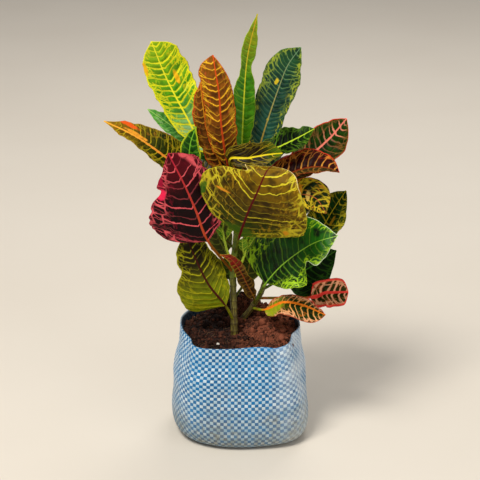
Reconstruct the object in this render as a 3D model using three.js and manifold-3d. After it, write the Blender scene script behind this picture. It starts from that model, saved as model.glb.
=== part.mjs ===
// A young croton in a woven grow bag: the blue and white bag, its soil, two woody stems, two young
// side shoots, and every leaf as one body with its stalk. Millimetres, +Z up, the viewer at -Y.
// The origin is the middle of the bag's flat foot, on the surface that it stands on.
import * as THREE from "three";
import Module from "manifold-3d";
import { mergeVertices } from "three/addons/utils/BufferGeometryUtils.js";

const wasm = await Module();
wasm.setup();

// Clearance between pieces that rest on each other
const SEAT_GAP = 0.3;

// The bag: half width and height up its outside, from the flat foot over the belly to the rim
const BAG_OUTLINE = [
  [66, 0], [75, 3], [80.5, 10], [83.2, 22], [82.5, 48], [79.8, 84], [76.2, 112], [74.2, 135],
];
const BAG_HEIGHT = 135;
const BAG_SECTORS = 40;
const BAG_WALL = 1.4;
const BAG_FLOOR = 1.4;
const HEM_WALL = 2.8;
const HEM_HEIGHT = 10;
const RIM_SHIFT = 0.6;

// The flat tube that the bag was sewn from keeps its rim square, with sides that bow out. The
// exponent is that of the rounded square. The foot keeps only a share of it.
const SQUARENESS = 3.6;
const FOOT_SHARE = 0.25;

// The back of the mouth: how far it is pushed in, how sharply that starts at the sides, what is left
// of its square corners, and how far it stands up
const BACK_DENT = 14;
const DENT_POWER = 1.3;
const BACK_SQUARE = 0.35;
const BACK_RISE = 8;

// Forms that soil and handling left: their place round the bag in radians, depth and width
const CORNER = { angle: -0.62, depth: 9, width: 0.42, height: 60 };
const CREASE = { angle: -2.5, depth: 3, width: 0.16 };
const PLEAT = { angle: -0.99, depth: 5, width: 0.12, dip: 4 };
const PINCHES = [{ angle: -0.5, depth: 10, width: 0.34 }, { angle: -2.62, depth: 9, width: 0.32 }];
const SLACK = { depth: 0.9, folds: 7, start: 1 };

// The rim: how far it tips to the back and the left, how far it sags, where it dips, and its waves
const RIM_TIP = [-1.5, -2];
const RIM_DROP = 3;
const RIM_DIP = { angle: -2.3, depth: 5, width: 0.55 };
const RIM_WAVE = { height: 0.8, count: 5, start: 0.6 };
const RISE_STARTS = 60;

// The soil: its mean level, the rings of its top, its heaps and hollow, its clumps, how far it sinks
// at the edge, the share of a heap that is left there, and how much of the rim's waves it follows
const SOIL_LEVEL = 126;
const SOIL_GAP = 0.8;
const SOIL_RINGS = [71, 60, 48, 36, 25, 14];
const SOIL_MOUND = { x: 38, y: 30, height: 14, width: 28, depth: 28 };
const SOIL_BANK = { x: -2, y: 57, height: 25, width: 36, depth: 20 };
const SOIL_HOLLOW = { x: -30, y: 0, height: -3, width: 34, depth: 34 };
const CLUMPS = { height: 1.3, x: 5.3, y: 4.7, bend: 7, skew: 11 };
const EDGE_SLUMP = 1.6;
const EDGE_SHARE = 0.35;
const EDGE_FOLLOW = 0.5;

// The stems: the level that they reach down to in the soil, and the room round them there
const ROOT_LEVEL = 60;
const HOLE_CLEARANCE = 0.4;
const STEM_SIDES = 10;
const STEM_STEPS = 16;

// Leaves
const BLADE_THICKNESS = 0.8;
const MIDRIB_HEIGHT = 1.3;
const STALK_RADIUS = 1.7;
const TIP_HALF_WIDTH = 0.9;
const STALK_STEPS = 3;
const SPAN_DIVISIONS = 60;

// The share of a blade's length, before and after its start, in which the round stalk turns flat
const BLEND = 0.1;

// A blade's waves: how fast they grow towards its edge, and how far its two halves are out of step
const WAVE_GROWTH = 1.5;
const WAVE_SHIFT = 0.37;

// Side shoots: the sides and steps of their stems, how steeply their leaves rise, and where along
// that rise the route of a leaf has its points
const SHOOT_SIDES = 6;
const SHOOT_STEPS = 4;
const YOUNG_RISE = 26;
const YOUNG_ROUTE = [0.3, 0.7, 1.1];

const BAG_ROUGHNESS = 0.6;
const SOIL_ROUGHNESS = 0.95;
const STEM_ROUGHNESS = 0.7;
const LEAF_ROUGHNESS = 0.4;

const point = ([x, y, z]) => new THREE.Vector3(x, y, z);
const smooth = (x) => THREE.MathUtils.smoothstep(x, 0, 1);
const bell = (x, width) => Math.exp(-((x / width) ** 2));
const turn = (angle) => Math.atan2(Math.sin(angle), Math.cos(angle));
const ridge = (angle, form) => bell(turn(angle - form.angle), form.width);

function material(colour, roughness) {
  return new THREE.MeshStandardMaterial({ color: colour, roughness, metalness: 0 });
}

// Joins a row of rings with faces and closes both ends. Each ring has an upper half, left to right,
// and a lower half, right to left. Both halves are split along the same diagonals, so that a thin
// waved blade stays as thick as it is made.
function loft(rings) {
  const count = rings[0].length;
  const half = count / 2;
  const faces = [];
  for (let k = 0; k < rings.length - 1; k++) {
    for (let j = 0; j < count; j++) {
      const a = k * count + j;
      const b = k * count + ((j + 1) % count);
      const c = b + count;
      const d = a + count;
      if (j < half - 1) faces.push(a, b, c, a, c, d);
      else faces.push(a, b, d, b, c, d);
    }
  }
  const last = (rings.length - 1) * count;
  for (let i = 0; i < half - 1; i++) {
    const under = count - 1 - i;
    faces.push(i, under, under - 1, i, under - 1, i + 1);
    faces.push(last + i, last + under - 1, last + under, last + i, last + i + 1, last + under - 1);
  }
  const geometry = new THREE.BufferGeometry().setFromPoints(rings.flat());
  geometry.setIndex(faces);
  return geometry;
}

// A geometry as a solid for joining and cutting, and the way back
function solid(geometry) {
  const bare = geometry.clone();
  bare.deleteAttribute("normal");
  bare.deleteAttribute("uv");
  const merged = mergeVertices(bare, 1e-3);
  const vertProperties = new Float32Array(merged.attributes.position.array);
  const triVerts = new Uint32Array(merged.index.array);
  return new wasm.Manifold(new wasm.Mesh({ numProp: 3, vertProperties, triVerts }));
}

function geometryOf(body) {
  const mesh = body.getMesh();
  const geometry = new THREE.BufferGeometry();
  geometry.setAttribute("position", new THREE.BufferAttribute(new Float32Array(mesh.vertProperties), 3));
  geometry.setIndex(new THREE.BufferAttribute(new Uint32Array(mesh.triVerts), 1));
  return geometry;
}

// How far the filled bag stands out of round at an angle and a height
function bagBulge(angle, height) {
  const level = height / BAG_HEIGHT;
  const across = Math.abs(Math.cos(angle)) ** SQUARENESS + Math.abs(Math.sin(angle)) ** SQUARENESS;
  const square = across ** (-1 / SQUARENESS) - 1;
  const back = Math.max(Math.sin(angle), 0) * smooth(level);
  const share = THREE.MathUtils.lerp(FOOT_SHARE, 1, level) * THREE.MathUtils.lerp(1, BACK_SQUARE, back);
  const sides = bagRadius(height) * square * share;
  const corner = CORNER.depth * ridge(angle, CORNER) * bell(height, CORNER.height);
  const crease = CREASE.depth * ridge(angle, CREASE) * smooth(level) ** 2;
  const pleat = PLEAT.depth * ridge(angle, PLEAT) * level ** 4;
  const pinch = PINCHES.reduce((sum, form) => sum + form.depth * ridge(angle, form), 0) * level ** 7;
  const slack = SLACK.depth * Math.sin(SLACK.folds * angle + SLACK.start) * level ** 3;
  return sides + corner - crease - pleat - pinch + slack - BACK_DENT * back ** DENT_POWER;
}

// How far the rim rises or dips from its mean height
function rimRise(angle) {
  const tip = RIM_TIP[0] * Math.sin(angle) + RIM_TIP[1] * Math.cos(angle);
  const wave = RIM_WAVE.height * Math.sin(RIM_WAVE.count * angle + RIM_WAVE.start);
  const back = BACK_RISE * Math.max(Math.sin(angle), 0) ** 2;
  const dips = PLEAT.dip * ridge(angle, PLEAT) + RIM_DIP.depth * ridge(angle, RIM_DIP);
  return tip + wave + back - dips - RIM_DROP;
}

// The rim's rise as it fades out down the wall
function wallRise(angle, height) {
  return rimRise(angle) * smooth((height - RISE_STARTS) / (BAG_HEIGHT - RISE_STARTS));
}

// Turns a profile and gives it the bag's lean, bulges and wavy rim. The middle of the foot and of the
// soil stays as it is. Faces next to each other in two such bodies run parallel.
function baggy(profile, riseOf) {
  const outline = profile.map(([r, z]) => new THREE.Vector2(r, z));
  const geometry = new THREE.LatheGeometry(outline, BAG_SECTORS);
  geometry.rotateX(Math.PI / 2);
  const p = geometry.attributes.position;
  for (let i = 0; i < p.count; i++) {
    const radius = Math.hypot(p.getX(i), p.getY(i));
    const angle = Math.atan2(p.getY(i), p.getX(i));
    const height = p.getZ(i);
    const outer = smooth(radius / BAG_OUTLINE[0][0]) ** 2;
    const out = 1 + (bagBulge(angle, height) * outer) / Math.max(radius, 1);
    const lean = RIM_SHIFT * smooth(height / BAG_HEIGHT);
    const rise = riseOf(angle, radius, height);
    p.setXYZ(i, p.getX(i) * out + lean, p.getY(i) * out, height + rise);
  }
  return geometry;
}

// Half width of the bag's outside at a height
function bagRadius(height) {
  const k = BAG_OUTLINE.findIndex(([, z]) => z >= height);
  const [r0, z0] = BAG_OUTLINE[Math.max(k - 1, 0)];
  const [r1, z1] = BAG_OUTLINE[k];
  return z1 > z0 ? THREE.MathUtils.mapLinear(height, z0, z1, r0, r1) : r1;
}

function growBag() {
  const inner = BAG_OUTLINE.slice(1, -1).map(([r, z]) => [r - BAG_WALL, z]);
  const hem = BAG_HEIGHT - HEM_HEIGHT;
  const profile = [
    [0, 0],
    ...BAG_OUTLINE,
    [bagRadius(BAG_HEIGHT) - HEM_WALL, BAG_HEIGHT],
    [bagRadius(hem) - HEM_WALL, hem],
    ...inner.reverse(),
    [BAG_OUTLINE[0][0] - BAG_WALL, BAG_FLOOR],
    [0, BAG_FLOOR],
  ];
  return baggy(profile, (angle, radius, height) => wallRise(angle, height));
}

// The soil's lumpy top: heaps of loose clumps to the right of the stems and behind them, lower at
// the left
function soilRelief(x, y) {
  const heap = (form) => {
    return form.height * bell(x - form.x, form.width) * bell(y - form.y, form.depth);
  };
  const rows = Math.sin(x / CLUMPS.x + Math.sin(y / CLUMPS.bend));
  const columns = Math.cos(y / CLUMPS.y - x / CLUMPS.skew);
  const radius = Math.hypot(x, y);
  const slump = EDGE_SLUMP * smooth(radius / SOIL_RINGS[0]) ** 4;
  const edge = smooth((radius - SOIL_RINGS[1]) / (SOIL_RINGS[0] - SOIL_RINGS[1]));
  const heaps = (heap(SOIL_MOUND) + heap(SOIL_BANK)) * THREE.MathUtils.lerp(1, EDGE_SHARE, edge);
  return heaps + heap(SOIL_HOLLOW) + CLUMPS.height * rows * columns - slump;
}

// The soil fills the bag, clear of its wall and floor, and has a hole for each stem
function soil(holes) {
  const wall = BAG_OUTLINE.slice(1, -1).map(([r, z]) => [r - BAG_WALL - SOIL_GAP, z]);
  const floor = BAG_FLOOR + SEAT_GAP;
  const profile = [
    [0, floor],
    [BAG_OUTLINE[0][0] - BAG_WALL - SOIL_GAP, floor],
    ...wall,
    ...SOIL_RINGS.map((r) => [r, SOIL_LEVEL]),
    [0, SOIL_LEVEL],
  ];
  const rise = (angle, radius, height) => {
    if (height < SOIL_LEVEL) return wallRise(angle, height);
    const relief = soilRelief(radius * Math.cos(angle), radius * Math.sin(angle));
    return relief + EDGE_FOLLOW * rimRise(angle);
  };
  let body = solid(baggy(profile, rise));
  for (const hole of holes) body = body.subtract(solid(hole));
  return geometryOf(body);
}

const spline = (points) => new THREE.CatmullRomCurve3(points, false, "catmullrom", 0.5);

// A stem that follows a route and narrows from its first radius to its last. grow widens it, for the
// hole that it stands in.
function limb(stem, grow = 0, sides = STEM_SIDES, steps = STEM_STEPS) {
  const curve = spline(stem.route.map(point));
  const rings = [];
  for (let k = 0; k <= steps; k++) {
    const t = k / steps;
    const centre = curve.getPoint(t);
    const along = curve.getTangent(t);
    if (k === 0) centre.z -= grow;
    const across = new THREE.Vector3(0, 1, 0).cross(along).normalize();
    const front = along.clone().cross(across);
    const radius = THREE.MathUtils.lerp(stem.radii[0], stem.radii[1], t) + grow;
    const ring = [];
    for (let j = 0; j < sides; j++) {
      const angle = Math.PI - ((j + 0.5) / sides) * 2 * Math.PI;
      const edge = centre.clone().addScaledVector(across, radius * Math.cos(angle));
      ring.push(edge.addScaledVector(front, -radius * Math.sin(angle)));
    }
    rings.push(ring);
  }
  return loft(rings);
}

// The middle, direction and radius of a stem at a height
function stemAt(stem, height) {
  const curve = spline(stem.route.map(point));
  let t = 0;
  while (t < 1 && curve.getPoint(t).z < height) t += 0.005;
  const place = Math.min(t, 1);
  const radius = THREE.MathUtils.lerp(stem.radii[0], stem.radii[1], place);
  return { axis: curve.getPoint(place), along: curve.getTangent(place), radius };
}

// The point beside a stem, at a height, where a stalk that heads for a place starts
function seat(stem, height, towards, stalk) {
  const { axis, along, radius } = stemAt(stem, height);
  const out = point(towards).sub(axis).normalize();
  const steep = out.dot(along);
  const sideways = out.addScaledVector(along, -steep).normalize();
  return axis.addScaledVector(sideways, radius + SEAT_GAP + stalk * Math.abs(steep));
}

// Half width of a blade at v, from 0 at its base to 1 at its tip, as a share of its widest place
function outline(leaf, side, v) {
  const belly = leaf.belly[side];
  const rise = v < belly ? 1 - (1 - v / belly) ** 2 : 1;
  const fall = v > belly ? 1 - ((v - belly) / (1 - belly)) ** leaf.blunt[side] : 1;
  const [depth, middle, width] = leaf.waist[side];
  return rise ** leaf.slim[side] * fall * (1 - depth * bell(v - middle, width));
}

// The direction that a blade's upper face looks to at v
function facing(leaf, v) {
  const place = v * (leaf.top.length - 1);
  const k = Math.min(Math.floor(place), leaf.top.length - 2);
  return point(leaf.top[k]).lerp(point(leaf.top[k + 1]), place - k);
}

// A leaf: a round stalk that runs out into a thin blade. Across the blade u goes from -1, the left
// edge seen from above with the tip up, to 1. Each half is folded up from the midrib, curls further
// towards its edge, and waves along it.
function leafGeometry(leaf, start) {
  const curve = spline([start, ...leaf.route.map(point)]);
  curve.arcLengthDivisions = SPAN_DIVISIONS * leaf.route.length;
  const lengths = curve.getLengths();
  const bladeStart = lengths[SPAN_DIVISIONS] / lengths.at(-1);
  const stations = [];
  for (let k = 0; k < STALK_STEPS; k++) stations.push((bladeStart * k) / STALK_STEPS);
  for (let k = 0; k < leaf.steps; k++) stations.push(bladeStart + ((1 - bladeStart) * k) / leaf.steps);
  stations.push(1);
  const rings = stations.map((station) => {
    const v = (station - bladeStart) / (1 - bladeStart);
    return leafRing(leaf, curve, station, v);
  });
  return loft(rings);
}

// A leaf's section at a station along its route
function leafRing(leaf, curve, station, v) {
  const centre = curve.getPointAt(station);
  const along = curve.getTangentAt(station);
  const up = facing(leaf, THREE.MathUtils.clamp(v, 0, 1));
  up.addScaledVector(along, -up.dot(along)).normalize();
  const frame = { centre, up, right: along.clone().cross(up) };
  const flat = smooth((v + BLEND) / (2 * BLEND));
  const upper = [];
  const lower = [];
  for (let i = 0; i < leaf.columns; i++) {
    const u = (2 * i) / (leaf.columns - 1) - 1;
    const blade = bladePair(leaf, frame, u, v);
    const stalk = stalkPair(leaf, frame, i);
    upper.push(stalk[0].lerp(blade[0], flat));
    lower.unshift(stalk[1].lerp(blade[1], flat));
  }
  return [...upper, ...lower];
}

// The points of a blade's upper and lower face at u and v. The lower one has the midrib.
function bladePair(leaf, { centre, up, right }, u, v) {
  const side = u < 0 ? 0 : 1;
  const out = Math.abs(u);
  const share = v > 0 ? outline(leaf, side, Math.min(v, 1)) : 0;
  const half = Math.max(leaf.half[side] * share, TIP_HALF_WIDTH);
  const fold = THREE.MathUtils.degToRad(leaf.fold[side]);
  const curl = THREE.MathUtils.degToRad(leaf.curl[side]);
  const angle = fold + curl * out;
  const mean = fold + (curl * out) / 2;
  const [height, count, first] = leaf.wave;
  const phase = 2 * Math.PI * (count * v + first + WAVE_SHIFT * side);
  const lift = height * out ** WAVE_GROWTH * share * Math.sin(phase);
  const normal = up.clone().multiplyScalar(Math.cos(angle));
  normal.addScaledVector(right, -Math.sign(u) * Math.sin(angle));
  const place = centre.clone().addScaledVector(right, half * u * Math.cos(mean));
  place.addScaledVector(up, half * out * Math.sin(mean)).addScaledVector(normal, lift);
  const rib = u === 0 ? MIDRIB_HEIGHT * (1 - v) : 0;
  const thick = BLADE_THICKNESS / 2;
  return [place.clone().addScaledVector(normal, thick), place.addScaledVector(normal, -thick - rib)];
}

// The points of the stalk's round section that column i of the blade grows out of
function stalkPair(leaf, { centre, up, right }, i) {
  const round = Math.PI * (1 - (i + 0.5) / leaf.columns);
  const beside = centre.clone().addScaledVector(right, leaf.stalk * Math.cos(round));
  const rise = leaf.stalk * Math.sin(round);
  return [beside.clone().addScaledVector(up, rise), beside.addScaledVector(up, -rise)];
}

// The two stems, from deep in the soil to the growing tip
const MAIN = {
  route: [
    [-5, -4, ROOT_LEVEL], [-6, -5, 100], [-6, -5, 130], [-7, -1, 164],
    [-7, 2, 203], [-3, 2, 254], [1, 1, 299], [2, 0, 326],
  ],
  radii: [4.8, 3.0],
};
const SIDE = {
  route: [
    [-2, 22, ROOT_LEVEL + 10], [-1, 22, 100], [1, 22, 124], [16, 20, 147],
    [28, 18, 170], [35, 20, 198], [40, 25, 233], [43, 29, 258],
  ],
  radii: [4.2, 2.6],
};

// What most leaves have. Each pair is the left half and the right half, seen from above with the
// tip up: half width, widest place, how full the base is, how blunt the tip is, the depth, place and
// length of a waist, fold and curl in degrees. A wave has a height, a count and a start.
const USUAL = {
  stem: MAIN,
  stalk: STALK_RADIUS,
  columns: 5,
  steps: 11,
  half: [18, 18],
  belly: [0.55, 0.55],
  slim: [0.6, 0.6],
  blunt: [2.4, 2.4],
  waist: [[0, 0.5, 1], [0, 0.5, 1]],
  fold: [12, 12],
  curl: [8, 8],
  wave: [1.5, 2, 0],
};

// The leaves that the front shows, from the top down: the height on the stem that the stalk grows
// from, the route of the midrib from the blade's start to its tip, and the directions that the upper
// face looks to on the way.
const LEAVES = {
  leaf_tall: {
    from: 316, route: [[3, 10, 350], [6, 14, 420], [10, 16, 465], [21, 10, 515]],
    top: [[0.1, -0.95, 0.2], [0.1, -0.95, 0.2]],
    half: [14, 14], belly: [0.3, 0.3], blunt: [2.4, 2.4], waist: [[0.42, 0.6, 0.1], [0.42, 0.6, 0.1]],
    colour: 0x5aa51f,
  },
  leaf_deep: {
    from: 311, route: [[20, 14, 343], [33, 20, 383], [46, 26, 421], [57, 26, 450], [72, 22, 473]],
    top: [[-0.2, -0.9, 0.3], [-0.3, -0.9, 0.3]],
    half: [23, 24], belly: [0.66, 0.66], slim: [0.5, 0.5], blunt: [2.8, 3], colour: 0x1f5a3c, columns: 7,
  },
  leaf_lime: {
    from: 306, route: [[-39, 16, 347], [-64, 28, 390], [-86, 36, 432], [-103, 34, 477]],
    top: [[0.3, -0.85, 0.4], [0.35, -0.9, 0.3]],
    half: [25, 30], belly: [0.68, 0.7], slim: [0.5, 0.5], blunt: [3.6, 4], fold: [8, 8], colour: 0x6fae1e,
    columns: 7,
  },
  leaf_olive: {
    from: 313, route: [[-11, -32, 352], [10, -40, 357], [32, -43, 362], [50, -40, 363]],
    top: [[0, -0.85, 0.5], [0.1, -0.85, 0.5]],
    half: [17, 12], belly: [0.4, 0.4], slim: [0.22, 0.22], blunt: [4, 4], colour: 0x5c4d12,
  },
  leaf_midnight: {
    from: 302, route: [[24, -6, 349], [48, -10, 362], [69, -11, 373], [88, -8, 383]],
    top: [[0, -0.6, 0.75], [0.1, -0.6, 0.75]],
    half: [17, 17], belly: [0.5, 0.5], colour: 0x16422a,
  },
  leaf_bronze: {
    from: 296,
    route: [[-13, -18, 341], [-20, -28, 387], [-23, -30, 430], [-27, -27, 456], [-30, -20, 474]],
    top: [[0, 0.95, 0.2], [0, 0.95, -0.1]],
    half: [19, 20], belly: [0.45, 0.5], slim: [0.5, 0.5], blunt: [3, 14], fold: [20, 12], colour: 0x9a5518,
    columns: 7,
  },
  leaf_bronze_low: {
    from: 288, route: [[-16, -10, 326], [-36, -15, 380], [-42, -16, 415], [-45, -12, 440]],
    top: [[-0.2, 0.95, 0.2], [-0.2, 0.95, 0]],
    half: [17, 15], belly: [0.45, 0.5], slim: [0.4, 0.4], colour: 0x7d4518,
  },
  leaf_sprig: {
    from: 284, route: [[-33, 30, 327], [-71, 50, 361], [-110, 56, 389]],
    top: [[0.3, -0.7, 0.6], [0.3, -0.8, 0.5]],
    half: [14, 14], belly: [0.5, 0.5], colour: 0x3f8f3a,
  },
  leaf_ember: {
    from: 276, route: [[-43, -5, 313], [-84, -7, 346], [-120, -11, 374], [-157, -14, 394]],
    top: [[0.2, -0.7, 0.6], [0.3, -0.75, 0.55]],
    half: [15, 27], belly: [0.45, 0.32], slim: [0.5, 0.4], blunt: [2, 1.6], colour: 0x6f6a14, columns: 7,
  },
  leaf_rose: {
    from: 271, route: [[50, 12, 314], [84, 22, 340], [109, 22, 364], [127, 18, 388]],
    top: [[-0.4, -0.75, 0.5], [-0.4, -0.8, 0.4]],
    half: [22, 29], belly: [0.6, 0.62], blunt: [2.4, 3.6], colour: 0x274018, columns: 7,
  },
  leaf_maroon: {
    from: 266, route: [[36, -12, 309], [57, -18, 330], [83, -18, 339], [104, -14, 337], [118, -10, 330]],
    top: [[-0.2, -0.8, 0.6], [0.1, -0.8, 0.6]],
    half: [22, 10], belly: [0.5, 0.5], slim: [0.4, 0.5], blunt: [3, 3], fold: [4, -70], colour: 0x541412,
  },
  leaf_spring: {
    from: 256, route: [[-42, -18, 303], [-57, -21, 340], [-57, -20, 367], [-50, -16, 388]],
    top: [[0.2, -0.9, 0.4], [0.1, -0.95, 0.3]],
    half: [14, 13], belly: [0.5, 0.5], colour: 0x4f8f22,
  },
  leaf_blotch: {
    from: 242, route: [[40, 6, 282], [68, 4, 297], [90, 4, 294], [104, 2, 275]],
    top: [[-0.2, -0.6, 0.75], [0.2, -0.7, 0.6]],
    half: [22, 22], belly: [0.55, 0.55], colour: 0x35451a,
  },
  leaf_butterfly: {
    from: 226, route: [[0, -28, 256], [10, -54, 295], [21, -70, 326], [31, -68, 349], [38, -48, 350]],
    top: [[0.3, 0.8, 0.5], [0.25, 0.87, 0.2], [0, 0.1, -1]],
    half: [70, 66], belly: [0.53, 0.52], slim: [1, 1.2], blunt: [2, 1.5],
    waist: [[0, 0.5, 1], [0.42, 0.78, 0.045]],
    fold: [2, 2], curl: [-6, -6], wave: [3, 1.5, 0.1], colour: 0x7f7414, columns: 9, steps: 15,
  },
  leaf_right: {
    stem: SIDE, from: 206, route: [[70, 26, 212], [96, 30, 238], [113, 31, 268], [129, 28, 295]],
    top: [[-0.5, -0.8, 0.3], [-0.6, -0.75, 0.2]],
    half: [24, 26], belly: [0.5, 0.55], slim: [0.4, 0.5], blunt: [2.8, 3.4], colour: 0x1f4a22,
  },
  leaf_wine: {
    from: 201, route: [[-37, -30, 252], [-50, -36, 290], [-64, -38, 325], [-82, -34, 361]],
    top: [[-0.1, 0.9, 0.3], [-0.1, 0.95, 0.1]],
    half: [36, 60], belly: [0.55, 0.32], slim: [0.5, 0.5], blunt: [3.4, 1.5],
    waist: [[0.12, 0.72, 0.06], [0.2, 0.66, 0.06]],
    fold: [12, 8], wave: [3, 2.4, 0.3], colour: 0x4f1022, columns: 7, steps: 15,
  },
  leaf_gloss: {
    stem: SIDE, from: 158, route: [[32, 2, 185], [54, -18, 219], [86, -36, 250], [116, -40, 262]],
    top: [[0, -0.75, 0.65], [0.1, -0.75, 0.65]],
    half: [58, 39], belly: [0.34, 0.54], slim: [0.34, 1], blunt: [2.1, 1.8],
    waist: [[0, 0.5, 1], [0.5, 0.64, 0.07]],
    fold: [4, 4], wave: [6, 2.5, 0.2], colour: 0x1f8a2a, columns: 7, steps: 15,
  },
  leaf_shade: {
    stem: SIDE, from: 172, route: [[54, 28, 182], [80, 33, 190], [119, 34, 216]],
    top: [[0, -0.95, 0.3], [0, -1, 0.1]],
    half: [22, 32], belly: [0.5, 0.35], slim: [0.5, 0.4], blunt: [2.4, 1.9], colour: 0x1b4f1f,
  },
  leaf_blush: {
    stem: SIDE, from: 160, route: [[88, 12, 163], [104, 9, 170], [118, 6, 172], [133, 5, 173]],
    top: [[0, -0.9, 0.4], [0, -0.95, 0.3]],
    half: [18, 18], belly: [0.5, 0.5], slim: [0.26, 0.26], blunt: [8, 8], wave: [2, 2, 0.3],
    colour: 0xa3283a,
  },
  leaf_thin: {
    stem: SIDE, from: 152,
    route: [[18, 2, 167], [10, -6, 186], [1, -15, 208], [-10, -22, 226], [-23, -26, 233]],
    top: [[0.2, -0.9, 0.2], [0.2, -0.8, 0.5]],
    half: [9, 8], belly: [0.35, 0.35], slim: [0.3, 0.3], blunt: [3, 3], colour: 0x5f3218, stalk: 1.4,
  },
  leaf_flame: {
    stem: SIDE, from: 147, route: [[32, 4, 150], [54, -12, 166], [78, -20, 165], [104, -20, 153]],
    top: [[0, -0.6, 0.75], [0.2, -0.75, 0.6]],
    half: [10, 22], belly: [0.5, 0.62], slim: [0.45, 0.5], blunt: [3, 4], wave: [2, 2, 0],
    colour: 0x6f5a14,
  },
  leaf_moss: {
    from: 142, route: [[-17, -15, 164], [-37, -20, 193], [-53, -19, 228], [-66, -11, 260]],
    top: [[-0.1, 0.9, 0.3], [-0.1, 0.95, 0.1]],
    half: [28, 43], belly: [0.44, 0.2], slim: [0.45, 0.3], blunt: [2.2, 1.7],
    waist: [[0, 0.5, 1], [0.26, 0.56, 0.09]],
    fold: [30, 6], colour: 0x5a6414, columns: 7,
  },
};

// Leaves on the far side, which the photographed side hides
const BACK_LEAVES = {
  leaf_back_1: {
    from: 300, route: [[-16, 24, 328], [-34, 52, 362], [-44, 68, 386]],
    half: [21, 21], colour: 0x2f6a2c,
  },
  leaf_back_2: {
    from: 294, route: [[3, 26, 316], [10, 62, 354], [16, 92, 376]],
    half: [25, 25], colour: 0x5a3a16,
  },
  leaf_back_3: {
    from: 286, route: [[22, 24, 306], [54, 52, 336], [80, 72, 352]],
    half: [25, 25], colour: 0x1f5a30,
  },
  leaf_back_4: {
    from: 272, route: [[-22, 26, 302], [-58, 54, 328], [-98, 82, 324]],
    half: [25, 25], colour: 0x4a5a18,
  },
  leaf_back_5: {
    from: 264, route: [[14, 30, 286], [36, 78, 312], [50, 118, 308]],
    half: [27, 27], colour: 0x45161c,
  },
  leaf_back_6: {
    from: 254, route: [[-12, 30, 278], [-30, 78, 300], [-40, 122, 290]],
    half: [27, 27], colour: 0x2a5a26,
  },
  leaf_back_7: {
    from: 246, route: [[26, 34, 264], [66, 62, 282], [98, 90, 274]],
    half: [25, 25], colour: 0x5a5014,
  },
  leaf_back_8: {
    from: 230, route: [[-28, 20, 246], [-70, 48, 266], [-102, 74, 256]],
    half: [25, 25], colour: 0x4a1420,
  },
  leaf_back_9: {
    from: 210, route: [[-15, 30, 214], [-23, 38, 226], [-28, 42, 240], [-30, 44, 253]],
    top: [[0, 0.95, 0.2], [0, 0.95, 0]],
    half: [17, 17], colour: 0x2f6a24,
  },
  leaf_back_10: {
    stem: SIDE, from: 204, route: [[44, 46, 220], [58, 84, 236], [68, 120, 220]],
    half: [25, 25], colour: 0x25521f,
  },
  leaf_back_11: {
    from: 162, route: [[-20, 18, 176], [-46, 44, 190], [-66, 64, 180]],
    half: [20, 20], colour: 0x4f6a18,
  },
  leaf_back_12: {
    from: 166, route: [[5, 26, 174], [12, 36, 194], [15, 41, 216], [16, 43, 238]],
    top: [[0, 0.95, 0.2], [0, 0.95, 0]],
    half: [20, 20], colour: 0x6a4a18,
  },
  leaf_back_13: {
    stem: SIDE, from: 232, route: [[60, 42, 244], [92, 62, 260], [116, 78, 256]],
    half: [19, 19], colour: 0x2a4a1c,
  },
  leaf_back_14: {
    stem: SIDE, from: 182, route: [[44, 38, 186], [68, 66, 190], [92, 88, 178]],
    half: [20, 20], colour: 0x35601f,
  },
  leaf_back_15: {
    from: 176, route: [[-11, 20, 184], [-12, 26, 198], [-13, 30, 211]],
    top: [[0, 0.95, 0.2], [0, 0.95, 0.1]],
    half: [17, 17], colour: 0x5a6a1a,
  },
};

const YOUNG = { stalk: 0.8, half: [7, 7], columns: 3, steps: 5, wave: [0, 1, 0] };
const BACK = { top: [[0, 0.2, 0.98], [0, 0.45, 0.9]], steps: 9 };

// Side shoots: a short green stem, and the height and direction of each young leaf on it
const SHOOTS = {
  shoot_left: {
    from: 212, route: [[-15, -5, 232], [-18, -8, 248], [-20, -9, 260]], radii: [1.8, 1.1],
    leaves: [[237, -14, 6], [243, 12, -14], [251, -16, -8], [257, 2, -10]], colour: 0x7fae3a,
  },
  shoot_right: {
    from: 194, route: [[3, -3, 214], [7, -5, 228], [9, -7, 238]], radii: [1.8, 1.1],
    leaves: [[216, 14, 4], [222, -2, -14], [230, 14, -8], [236, 2, 6]], colour: 0x6fae35,
  },
};

// A side shoot in one body: its stem, and young leaves that start inside it
function shootGeometry(shoot) {
  const start = seat(MAIN, shoot.from, shoot.route[0], shoot.radii[0]).toArray();
  const stem = { route: [start, ...shoot.route], radii: shoot.radii };
  let body = solid(limb(stem, 0, SHOOT_SIDES, SHOOT_STEPS));
  for (const [height, x, y] of shoot.leaves) {
    const { axis } = stemAt(stem, height);
    const out = new THREE.Vector3(x, y, YOUNG_RISE);
    const route = YOUNG_ROUTE.map((k) => axis.clone().addScaledVector(out, k).toArray());
    const young = { ...USUAL, ...YOUNG, route, top: [[-x, -y, 8], [-x, -y, 14]] };
    body = body.add(solid(leafGeometry(young, axis)));
  }
  return geometryOf(body);
}

const croton = new THREE.Group();
croton.name = "potted_croton";

function add(name, geometry, colour, roughness) {
  const mesh = new THREE.Mesh(geometry, material(colour, roughness));
  mesh.name = name;
  croton.add(mesh);
}

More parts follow.
